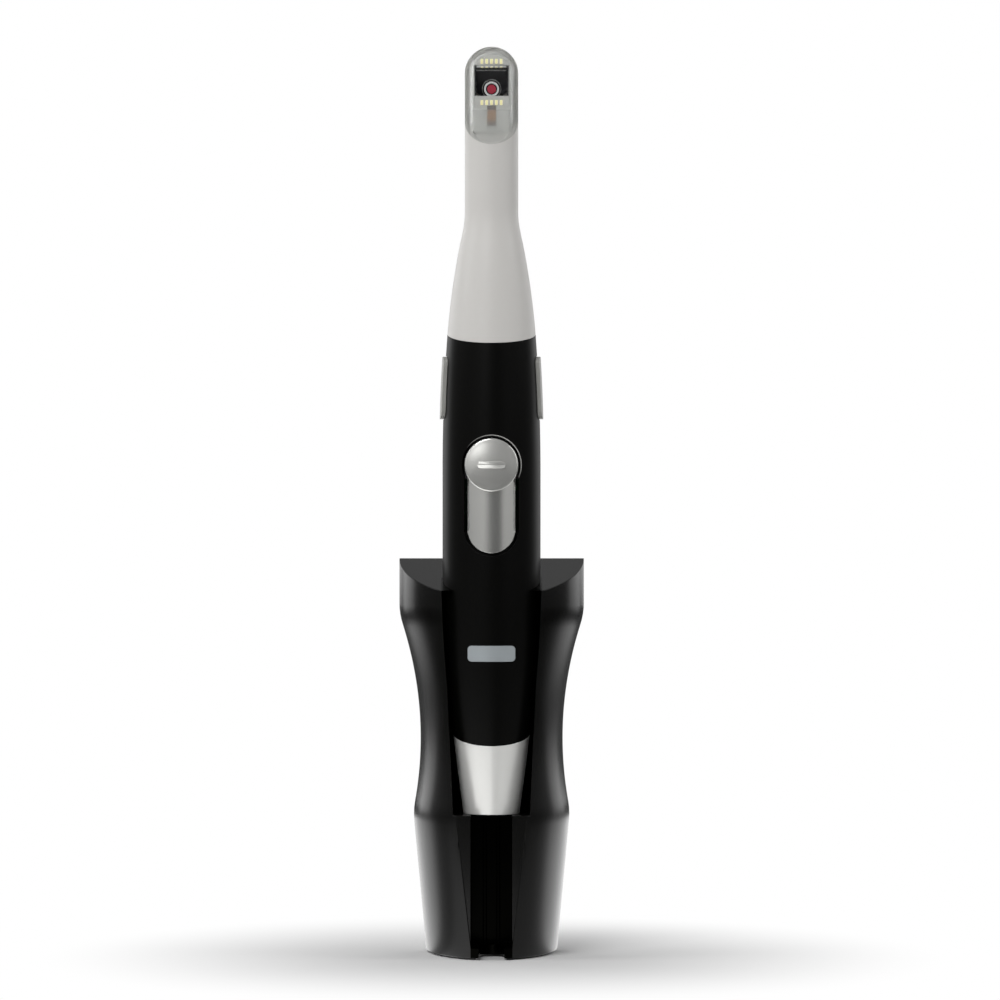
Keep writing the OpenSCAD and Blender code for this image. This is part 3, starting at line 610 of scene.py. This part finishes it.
# Mirror box and lens
# A black box behind the opening, with a mirror at 45 degrees that looks down into the lens barrel.
# A bright turned ring with a painted glow holds the coated front lens, which has a painted glow too. The
# barrel is blackened, but for its outer side.
dress(["mirror_box"], grained("box_black", (0.01, 0.01, 0.012), 0.45, size=1500, depth=0.05))
barrel_middle = (0, axis_y + 2.4 * MM, 0)
in_mm = (1 / MM, 1 / MM, 0)
barrel_tone = (0.01, 0.01, 0.012)
barrel_black = grained("barrel_black", barrel_tone, 0.35, size=1500, depth=0.03)
bare_side = zone_mask(barrel_black, barrel_middle, in_mm, 2.3, 2.4)
barrel_tones = two_tones(barrel_black.node_tree, bare_side, barrel_tone, (0.5, 0.5, 0.48))
feed(shader_of(barrel_black), {"Base Color": barrel_tones})
dress(["lens_barrel"], barrel_black)
mirror_silver = grained(
    "mirror_silver", (0.9, 0.91, 0.92), 0.03, size=400, depth=0.0, spread=0.02, metal=1.0,
)
dress(["fold_mirror"], mirror_silver)
# The chrome ring glows a little though it is no lamp: a painted glow.
ring_chrome = grained("ring_chrome", (0.85, 0.85, 0.84), 0.22, size=1200, depth=0.02, metal=1.0)
feed(shader_of(ring_chrome), {"Emission Color": (1, 1, 0.97, 1), "Emission Strength": 0.35})
dress(["lens_retainer"], ring_chrome)
# The lens glows with its own tones though it is no lamp: a painted glow.
coated_glass = grained("coated_glass", (0.35, 0.03, 0.05), 0.08, size=400, depth=0.0, spread=0.03)
iris = zone_mask(coated_glass, barrel_middle, in_mm, 1.1, 1.2)
glass_tones = two_tones(coated_glass.node_tree, iris, (0.4, 0.035, 0.06), (0.004, 0.004, 0.005))
feed(shader_of(coated_glass), {
    "Base Color": glass_tones, "Coat Weight": 1, "Emission Color": glass_tones, "Emission Strength": 0.4,
})
dress(["front_lens"], coated_glass)
dress(["rear_lens"], grained("rear_glass", (0.5, 0.56, 0.6), 0.05, size=400, depth=0.0, spread=0.02))

# Grip
# A black moulded tube with a satin skin, between two slanted borders.
# It is cut for the slide's pocket and grooves, the side buttons and the blank badge.
# The edge of the pocket has a painted highlight over the knob, most of all at its upper right.
knob_z = tail_z + 90.4 * MM
focus_travel = 15 * MM
plate_low = knob_z - focus_travel - 1.5 * MM
plate_r = 6.2 * MM
groove_w = 0.8 * MM
groove_r = plate_r + groove_w
knob_r = 6.85 * MM
recess_r = knob_r + 0.75 * MM
pocket_depth = 0.8 * MM
slot_ends = 1.8 * MM
slot_deep = 7.65 * MM
button_z = tail_z + 110.5 * MM
button_l = 16.2 * MM
button_w = 7 * MM
button_corner = 2 * MM
button_gap = 0.15 * MM
badge_z = tail_z + 41.8 * MM
badge_w = 12.3 * MM
badge_h = 4.1 * MM


def arc(x, z, r, start, stop, steps=16):
    """Points on a round corner, with angles in degrees from the right."""
    angles = [math.radians(start + (stop - start) * i / steps) for i in range(steps + 1)]
    return [(x + r * math.cos(a), z + r * math.sin(a)) for a in angles]


def rounded(width, height, z, corner):
    """A rectangle with round corners, centred on the wand's face."""
    x, up = width / 2 - corner, height / 2 - corner
    return (
        arc(x, z + up, corner, 0, 90, 8) + arc(-x, z + up, corner, 90, 180, 8)
        + arc(-x, z - up, corner, 180, 270, 8) + arc(x, z - up, corner, 270, 360, 8)
    )


def front_prism(outline, deep=0.0):
    """A block from far in front of the wand back to a depth before its axis."""
    return prism([(x, axis_y - far, z) for x, z in outline], (0, far - deep, 0))


def turned_prism(outline, sign, near):
    """The same block turned to a side of the wand; sign is 1 for the right side."""
    return prism([(sign * near, axis_y + x, z) for x, z in outline], (sign * (far - near), 0, 0))


def evened(bm):
    """Joins faces that lie almost in one plane, so that no short edges are left where cuts cross."""
    bmesh.ops.dissolve_limit(bm, angle_limit=math.radians(0.4), verts=bm.verts, edges=bm.edges)
    return bm


grip_tone = (0.0018, 0.0018, 0.0015)
grip_black = grained("grip_black", grip_tone, 0.38, size=4200, depth=0.05, spread=0.08, specular=0.11)
# A pale band painted round the pocket's rim, strongest at the upper right: a painted highlight, not
# polish.
rim_middle, rim_scale, rim_r = (0, 0, knob_z), (1 / MM, 0, 1 / MM), recess_r / MM
rim_near = zone_mask(grip_black, rim_middle, rim_scale, rim_r - 0.1, rim_r + 0.02)
rim_past = zone_mask(grip_black, rim_middle, rim_scale, rim_r + 0.12, rim_r + 0.24, levels=(1, 0))
upper_right = (12 * MM, axis_y - 12 * MM, knob_z + 12 * MM)
rim_side = zone_mask(grip_black, upper_right, (1 / MM, 1 / MM, 1 / MM), 10, 20, levels=(1, 0))
grip_tree = grip_black.node_tree
rim_band = new_node(grip_tree, "ShaderNodeMath", {0: rim_near, 1: rim_past}, operation="MULTIPLY")
rim_painted_highlight = new_node(grip_tree, "ShaderNodeMath", {0: rim_band, 1: rim_side}, operation="MULTIPLY")
feed(shader_of(grip_black), {"Base Color": two_tones(grip_tree, rim_painted_highlight, grip_tone, (0.8, 0.8, 0.77))})
grip_bm = wand_ring(tail_border - tail_dip, neck_border + neck_dip, 0, grip_wall)
grip_bm = shaped(grip_bm, above(tail_border, tail_slant), "INTERSECT")
grip_bm = shaped(grip_bm, above(neck_border, neck_slant))
ear = math.degrees(math.acos(groove_r / recess_r))
pocket = arc(0, knob_z, recess_r, -ear, 180 + ear, 48) + arc(0, plate_low, groove_r, 180, 360, 32)
pocket_ends = (plate_low - 2 * groove_r, knob_z + 2 * recess_r)
pocket_bm = shaped(front_prism(pocket), wand_body(*pocket_ends, pocket_depth))
grip_bm = shaped(grip_bm, pocket_bm)
for sign in (-1, 1):
    groove_x = sign * (plate_r + groove_w / 2)
    groove_low = knob_z - focus_travel - slot_ends
    groove_high = knob_z + slot_ends
    corners = [(groove_x - groove_w / 2, groove_low), (groove_x + groove_w / 2, groove_low)]
    corners += [(x, groove_high) for x, _ in corners[::-1]]
    grip_bm = shaped(grip_bm, front_prism(corners, slot_deep))
    grown = 2 * button_gap
    opening = rounded(button_w + grown, button_l + grown, button_z, button_corner + button_gap)
    grip_bm = shaped(grip_bm, turned_prism(opening, sign, MM))
badge_hole = rounded(badge_w + fit, badge_h + fit, badge_z, MM + fit / 2)
badge_ends = (badge_z - badge_h, badge_z + badge_h)
grip_bm = shaped(grip_bm, shaped(front_prism(badge_hole), wand_body(*badge_ends, 0.3 * MM)))
made_piece(evened(grip_bm), "grip_tube", grip_black, nodes=["grip_shell"], edge=0.12 * MM)

# Badge
# A small printed metal plate, set flush into the grip. Its field is left blank.
badge_steel = grained(
    "badge_steel", (0.42, 0.46, 0.48), 0.45, size=900, depth=0.03, spread=0.1, metal=0.2,
    stretch=(0.1, 1, 1),
)
badge_bm = front_prism(rounded(badge_w, badge_h, badge_z, MM))
badge_bm = shaped(badge_bm, wand_ring(*badge_ends, 0, 0.3 * MM), "INTERSECT")
made_piece(badge_bm, "badge_plate", badge_steel, nodes=["badge"], edge=0.06 * MM)

# Track plate
# A stamped strip of brushed steel that lies in the pocket, curved with the grip.
# The knob slides over it, with a claw in the groove at each side.
track_steel = grained(
    "track_steel", (0.8, 0.8, 0.77), 0.26, size=1500, depth=0.03, spread=0.06, metal=0.95,
    stretch=(1, 1, 0.04),
)
track = arc(0, knob_z, plate_r, 0, 180, 32) + arc(0, plate_low, plate_r, 180, 360, 32)
track_bm = shaped(front_prism(track), wand_ring(*pocket_ends, fit, pocket_depth), "INTERSECT")
made_piece(track_bm, "track_strip", track_steel, nodes=["track_plate"], edge=0.12 * MM)

# Focus knob
# A round slider of satin metal with a slightly domed face and a finger ridge across it.
# The ridge is chamfered on its lower side. Two claws reach through the grooves to the shoe.
knob_rise = 1.6 * MM
ridge_h = 0.6 * MM
ridge_w = 7.3 * MM
ridge_t = 1.8 * MM
knob_dome = 0.55 * MM
knob_bevel = 0.6 * MM
knob_face = grip_r + knob_rise
knob_under = grip_r + 0.15 * MM
claw_t = groove_w - 0.35 * MM
claw_x = plate_r + fit
claw_half = 1.5 * MM
shoe_top = grip_r - grip_wall - 2.9 * MM
shoe_t = 1.2 * MM
claw_root = math.sqrt(knob_under**2 - claw_x**2) + 0.4 * MM
knob_silver = grained(
    "knob_silver", (0.78, 0.78, 0.75), 0.26, size=2600, depth=0.04, spread=0.06, metal=0.7,
)
dome_steps = 8
bevel_steps = 6
rim = knob_face - knob_dome
face = [
    ((knob_r - knob_bevel) * i / dome_steps, rim + knob_dome * (1 - (i / dome_steps) ** 2))
    for i in range(dome_steps + 1)
]
corner = [
    (knob_r - knob_bevel + knob_bevel * math.sin(a), rim - knob_bevel / 2 * (1 - math.cos(a)))
    for a in (math.pi / 2 * i / bevel_steps for i in range(1, bevel_steps + 1))
]
knob_bm = bmesh.new()
knob_verts = [knob_bm.verts.new((r, -out, 0)) for r, out in face + corner + [(knob_r, 0), (0, 0)]]
knob_edges = [knob_bm.edges.new(pair) for pair in zip(knob_verts, knob_verts[1:])]
bmesh.ops.spin(
    knob_bm, geom=knob_verts + knob_edges, cent=(0, 0, 0), axis=(0, 1, 0),
    angle=math.tau, steps=96, use_merge=True,
)
bmesh.ops.remove_doubles(knob_bm, verts=knob_bm.verts, dist=1e-6)
bmesh.ops.recalc_face_normals(knob_bm, faces=knob_bm.faces)
bmesh.ops.translate(knob_bm, verts=knob_bm.verts, vec=(0, axis_y, knob_z))
saddle_low, saddle_high = knob_z - 2 * knob_r, knob_z + 2 * knob_r
saddle = [(0, saddle_low), (knob_under, saddle_low), (knob_under, saddle_high), (0, saddle_high)]
knob_bm = shaped(knob_bm, spun(saddle))
ridge_x = (ridge_w - ridge_t) / 2
ridge = arc(ridge_x, knob_z, ridge_t / 2, -90, 90, 8) + arc(-ridge_x, knob_z, ridge_t / 2, 90, 270, 8)
ridge_front = knob_face + ridge_h
ridge_bm = prism([(x, axis_y - ridge_front, z) for x, z in ridge], (0, ridge_h + knob_dome, 0))
chamfer_out, chamfer_up = 0.5 * MM, 1 * MM
ridge_foot = knob_z - ridge_t / 2
chamfer = [
    (-ridge_front - MM, ridge_foot - MM), (chamfer_out - ridge_front, ridge_foot - MM),
    (chamfer_out - ridge_front, ridge_foot), (-ridge_front, ridge_foot + chamfer_up),
    (-ridge_front - MM, ridge_foot + chamfer_up),
]
ridge_bm = shaped(ridge_bm, side_prism(chamfer, knob_r))
ridge_lip = [e for e in ridge_bm.edges if e.calc_face_angle(0) > math.radians(20)]
bmesh.ops.bevel(
    ridge_bm, geom=ridge_lip, offset=0.1 * MM, segments=2, profile=0.5, affect="EDGES",
    material=-1, clamp_overlap=True,
)
knob_bm = shaped(knob_bm, ridge_bm, "UNION")
for sign in (-1, 1):
    claw_near, claw_far = sign * claw_x, sign * (claw_x + claw_t)
    claw = [(claw_near, knob_z - claw_half), (claw_far, knob_z - claw_half)]
    claw += [(x, knob_z + claw_half) for x, _ in claw[::-1]]
    claw_bm = prism([(x, axis_y - claw_root, z) for x, z in claw], (0, claw_root + shoe_t - shoe_top, 0))
    knob_bm = shaped(knob_bm, claw_bm, "UNION")
made_piece(knob_bm, "slide_knob", knob_silver, "focus_slider", ["focus_knob"])

# Focus carriage
# The knob's shoe and rod push a small carriage with the image sensor towards the lens.
shoe_grey = grained("shoe_grey", (0.06, 0.06, 0.065), 0.5, size=1500, depth=0.05)
rod_steel = grained(
    "rod_steel", (0.6, 0.6, 0.6), 0.2, size=1500, depth=0.03, metal=1.0, stretch=(1, 1, 0.05),
)
dress(["knob_shoe", "sensor_carriage"], shoe_grey)
dress(["focus_rod"], rod_steel)
dress(["image_sensor"], grained("sensor_dark", (0.05, 0.04, 0.09), 0.12, size=3000, depth=0.02))

# Side buttons
# One grey moulded button in each flank of the grip, with a flange inside that holds it.
# A plunger behind each presses a switch on the main board.
button_rise = 0.9 * MM
flange_t = 1 * MM
flange_w = 0.7 * MM
button_back = grip_wall + fit + flange_t
switch_x = 6.4 * MM
button_reach = button_l / 2 + 2 * MM
button_grey = grained("button_grey", (0.36, 0.36, 0.34), 0.32, size=3500, depth=0.05, spread=0.08)
for side, sign in (("left", -1), ("right", 1)):
    ends = (button_z - button_reach, button_z + button_reach)
    lip = rounded(button_w + 2 * flange_w, button_l + 2 * flange_w, button_z, button_corner + flange_w)
    button_bm = turned_prism(lip, sign, switch_x)
    button_bm = shaped(button_bm, wand_ring(*ends, -button_rise, button_back), "INTERSECT")
    cap = rounded(button_w, button_l, button_z, button_corner)
    around_bm = wand_ring(*ends, -button_rise - MM, grip_wall + fit)
    button_bm = shaped(button_bm, shaped(around_bm, turned_prism(cap, sign, switch_x)))
    made_piece(
        button_bm, f"{side}_key", button_grey, f"{side}_button", [f"{side}_button"],
        edge=0.15 * MM, segments=3,
    )
dress(["left_plunger", "right_plunger"], shoe_grey)
switch_cream = grained("switch_cream", (0.5, 0.49, 0.44), 0.45, size=1500, depth=0.04)
dress(["left_switch", "right_switch"], switch_cream)

# Chassis and main board
# A moulded plate across the grip carries the main board, which is screwed to it at four places.
frame_grey = grained("frame_grey", (0.05, 0.05, 0.052), 0.55, size=1200, depth=0.05)
dress(["chassis", "rod_guide"], frame_grey)
solder_mask = grained("solder_mask", (0.01, 0.09, 0.03), 0.35, size=1200, depth=0.03)
mask_tree = solder_mask.node_tree
mask_cells = new_node(mask_tree, "ShaderNodeTexBrick", {
    "Vector": new_node(mask_tree, "ShaderNodeTexCoord").outputs["Object"], "Scale": 260,
    "Color1": (0.008, 0.08, 0.028, 1), "Color2": (0.014, 0.13, 0.045, 1),
    "Mortar": (0.02, 0.17, 0.06, 1), "Mortar Size": 0.03,
})
feed(shader_of(solder_mask), {"Base Color": mask_cells})
dress(["main_board", "sensor_board"], solder_mask)
chip_black = grained("chip_black", (0.012, 0.012, 0.013), 0.5, size=2500, depth=0.06)
dress(["processor_chip", "memory_chip"], chip_black)
screw_steel = grained("screw_steel", (0.5, 0.5, 0.5), 0.3, size=1500, depth=0.04, metal=1.0)
dress(["board_screws", "back_screws"], screw_steel)

# Tail sleeve
# A turned sleeve of satin steel that closes the grip, with the cable inlet in its end.
tail_wall = 1.2 * MM
tail_floor = tail_z + 2.4 * MM
inlet_r = 4.55 * MM
tail_steel = grained(
    "tail_steel", (0.95, 0.95, 0.92), 0.34, size=2200, depth=0.02, spread=0.05, metal=0.3,
    stretch=(1, 1, 0.05),
)
tail_skin_low = tail_border - tail_dip - collar
tail_skin_high = tail_border + tail_dip + 4 * MM
tail_bm = shaped(wand_body(tail_z, tail_border + tail_dip), above(tail_border, tail_slant))
tail_bm = shaped(tail_bm, wand_body(tail_skin_low, tail_skin_high, spigot_out), "UNION")
tail_bm = shaped(tail_bm, wand_body(tail_skin_low - MM, tail_skin_high + MM, spigot_in))
tail_bm = shaped(tail_bm, wand_body(tail_floor, tail_skin_low, tail_wall))
inlet = [(0, tail_z - MM), (inlet_r, tail_z - MM), (inlet_r, tail_floor + MM), (0, tail_floor + MM)]
tail_bm = shaped(tail_bm, spun(inlet))
made_piece(tail_bm, "tail_tube", tail_steel, nodes=["tail_sleeve"], edge=0.16 * MM)
socket_steel = grained("socket_steel", (0.55, 0.55, 0.55), 0.25, size=1500, depth=0.03, metal=1.0)
contact_gold = grained("contact_gold", (0.75, 0.5, 0.18), 0.25, size=1500, depth=0.03, metal=1.0)
dress(["connector_shell", "connector_nut"], socket_steel)
dress(["connector_insert"], chip_black)
dress(["contact_sockets"], contact_gold)

# Holder
# A table stand moulded in black plastic: a half-oval shell with a waist and broad shoulders.
# A round channel takes the wand. The ribbed slot below it, with a flared face at each side,
# lets a cable out through the floor. Its inside is made fully black, without sheen: painted shade.
holder_low, holder_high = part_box("holder_shell")
back_y = holder_high.y
holder_h = holder_high.z
holder_depth = back_y - holder_low.y
holder_foot = holder_low.z
foot_w = 34.4 * MM
waist_w = 37.4 * MM
waist_z = 56 * MM
shoulder_w = holder_high.x - holder_low.x
shoulder_z = 88.5 * MM
shoulder_soft = 2.5 * MM
knee_z = 36.8 * MM
top_slope = math.radians(18.3)
holder_wall = 1.6 * MM
floor_top = holder_foot + 2.6 * MM
slot_w = 10.7 * MM
rib_x = 1.75 * MM
rib_w = 0.8 * MM
rib_h = 1 * MM
boss_r = 2.2 * MM
boss_inset = 6.6 * MM
boss_low = 9 * MM
boss_high = holder_h - 11.2 * MM
screw_r = 0.95 * MM
screw_deep = 9 * MM
back_t = 1.6 * MM
flare_inset = 0.7 * MM
slot_back = 6 * MM
seat_t = 2 * MM
notch_w = 6.5 * MM
notch_l = 11 * MM
channel_gap = 0.3 * MM
mouth_w = 19.9 * MM
channel_top = holder_h + MM


def sharp_width(z):
    """The width at a height, with a sharp knee and shoulder."""
    if z >= shoulder_z:
        return shoulder_w
    swell = (max(z, knee_z) - waist_z) / (shoulder_z - waist_z)
    wide = waist_w + (shoulder_w - waist_w) * swell**2
    return wide if z >= knee_z else foot_w + (wide - foot_w) * z / knee_z


def holder_width(z):
    """The width at a height, with the knee and the shoulder rounded off."""
    samples = 9
    near = [z + shoulder_soft * (2 * i / (samples - 1) - 1) for i in range(samples)]
    return min(sharp_width(z), sum(sharp_width(max(h, 0)) for h in near) / samples)


def lofted(ring, levels, width_at):
    """A closed solid: a ring of points at the first level, carried up and made as wide as each level."""
    bm = bmesh.new()
    verts = [bm.verts.new((x, y, levels[0])) for x, y in ring]
    edges = [bm.edges.new(pair) for pair in zip(verts, verts[1:] + verts[:1])]
    bm.faces.new(verts)
    for below, level in zip(levels, levels[1:]):
        grown = bmesh.ops.extrude_edge_only(bm, edges=edges)["geom"]
        verts = [v for v in grown if isinstance(v, bmesh.types.BMVert)]
        edges = [e for e in grown if isinstance(e, bmesh.types.BMEdge) and e.is_boundary]
        for vert in verts:
            vert.co.x *= width_at(level) / width_at(below)
            vert.co.z = level
    bmesh.ops.holes_fill(bm, edges=edges, sides=0)
    bmesh.ops.recalc_face_normals(bm, faces=bm.faces)
    return bm


def rising(z0, z1, step=1.5 * MM):
    """Heights on one common grid, so that the skins that cross have their edges at the same heights."""
    first, last = math.ceil((z0 + step / 2) / step), math.floor((z1 - step / 2) / step)
    return [z0] + [step * i for i in range(first, last + 1)] + [z1]


def holder_loft(z0, z1, inset, behind):
    """The half-oval body of the holder, moved in by the inset; its back reaches behind the flat."""
    levels = rising(z0, shoulder_z + shoulder_soft) + [z1]
    wide = holder_width(levels[0]) - 2 * inset
    turns = [math.pi * i / 72 for i in range(73)]
    oval = [(wide / 2 * math.cos(a), back_y - (holder_depth - inset) * math.sin(a)) for a in turns]
    if behind:
        oval += [(-wide / 2, back_y + behind), (wide / 2, back_y + behind)]
    return lofted(oval, levels, lambda z: holder_width(z) - 2 * inset)


def channel_radius(z):
    """The radius of the space for the wand, which is at least as wide as its mouth."""
    rise = (max(z, tail_z) - tail_z) / (channel_top - tail_z)
    mouth = mouth_w / 2 + (grip_r + channel_gap - mouth_w / 2) * rise
    return max(wand_radius(z) + channel_gap, mouth)


def wand_channel(z0, grow):
    """The space for the wand: round behind it and open to the front."""
    levels = rising(z0, channel_top + MM)
    r = channel_radius(z0) + grow
    back = [(x, axis_y + y) for x, y in arc(0, 0, r, 0, 180, 48)]
    ring = back + [(-r, axis_y - far), (r, axis_y - far)]
    return lofted(ring, levels, lambda z: channel_radius(z) + grow)


def block(x0, x1, y0, y1, z0, z1):
    """A plain box between two corners."""
    return prism([(x0, y0, z0), (x1, y0, z0), (x1, y0, z1), (x0, y0, z1)], (0, y1 - y0, 0))


def peg(x, z, r, y0, y1):
    """A round bar that runs back from one depth to another."""
    return prism([(u, y0, v) for u, v in arc(x, z, r, 0, 360, 24)[:-1]], (0, y1 - y0, 0))


slot_y = axis_y + slot_back
front_y = back_y - 2 * holder_depth
lid_drop = holder_wall / math.cos(top_slope)
flare_half = mouth_w / 2 - flare_inset
flare_y = back_y - holder_depth * math.sqrt(1 - (2 * flare_half / sharp_width(tail_z)) ** 2)


def top_side(drop):
    """All that lies above the slanted top face, or that far below it."""
    slope = math.tan(top_slope)
    past = 2 * MM
    z = holder_h - drop
    top = channel_top + far
    low_end = (front_y - axis_y, z - 2 * holder_depth * slope)
    high_end = (back_y + past - axis_y, z + past * slope)
    return side_prism([low_end, high_end, (high_end[0], top), (low_end[0], top)])


def flare(grow):
    """The flared faces in front of the seat: as wide as its mouth there, as the slot at the floor."""
    low, high, y = slot_w / 2 + grow, flare_half + grow, flare_y + grow
    outline = [(-low, floor_top), (low, floor_top), (high, tail_z + fit), (-high, tail_z + fit)]
    return prism([(x, y, z) for x, z in outline], (0, -holder_depth, 0))


holder_black = grained(
    "holder_black", (0.0018, 0.0018, 0.0015), 0.22, size=3200, depth=0.06, spread=0.08, specular=0.3,
)
# Inside the slot the plastic is made metallic with a near-black base, so it shows no sheen at all:
# painted shade.
slot_middle = (0, 0, tail_z / 2)
slot_stretch = (2 / (slot_w + fit), 0, 2 / tail_z)
slot_painted_shade = zone_mask(holder_black, slot_middle, slot_stretch, 0.99, 1.01, "Square", (1, 0))
feed(shader_of(holder_black), {"Metallic": slot_painted_shade})
holder_bm = shaped(holder_loft(holder_foot, channel_top, 0, 0), top_side(0))
hollow_bm = holder_loft(floor_top, channel_top, holder_wall, MM)
hollow_bm = shaped(hollow_bm, top_side(lid_drop))
hollow_bm = shaped(hollow_bm, wand_channel(tail_z - seat_t, holder_wall))
slot_out = slot_w / 2 + holder_wall
hollow_bm = shaped(hollow_bm, block(-slot_out, slot_out, front_y, slot_y + holder_wall, 0, tail_z))
hollow_bm = shaped(hollow_bm, flare(holder_wall))
boss_rows = [(sharp_width(z) / 2 - boss_inset, z) for z in (boss_low, boss_high)]
bosses = [(sign * x, z) for sign in (-1, 1) for x, z in boss_rows]
for boss in bosses:
    hollow_bm = shaped(hollow_bm, peg(*boss, boss_r, back_y - holder_depth, back_y - back_t))
holder_bm = shaped(holder_bm, hollow_bm)
for boss in bosses:
    holder_bm = shaped(holder_bm, peg(*boss, screw_r, back_y - screw_deep, back_y + MM))
holder_bm = shaped(holder_bm, wand_channel(tail_z, 0))
holder_bm = shaped(holder_bm, block(-slot_w / 2, slot_w / 2, front_y, slot_y, floor_top, tail_z + MM))
holder_bm = shaped(holder_bm, flare(0))
for x in (-rib_x, rib_x):
    rib_side = (x - rib_w / 2, x + rib_w / 2)
    rib = block(*rib_side, slot_y - rib_h, slot_y + fit, floor_top - fit, tail_z - seat_t)
    holder_bm = shaped(holder_bm, rib, "UNION")
notch_y = back_y - holder_depth + notch_l - notch_w / 2
notch = arc(0, notch_y, notch_w / 2, 0, 180, 32) + [(-notch_w / 2, front_y), (notch_w / 2, front_y)]
holder_bm = shaped(holder_bm, prism([(x, y, -MM) for x, y in notch], (0, 0, floor_top + 2 * MM)))
made_piece(
    evened(holder_bm), "holder_body", holder_black, nodes=["holder_shell"], edge=0.16 * MM,
)

# Holder back and foot
# A plain plate is screwed into the open back, and a soft pad is glued under the floor.
back_black = grained("back_black", (0.008, 0.008, 0.008), 0.45, size=2500, depth=0.08, specular=0.3)
foot_rubber = grained("foot_rubber", (0.014, 0.014, 0.014), 0.75, size=1800, depth=0.15, specular=0.3)
dress(["back_plate"], back_black)
dress(["foot_pad"], foot_rubber)
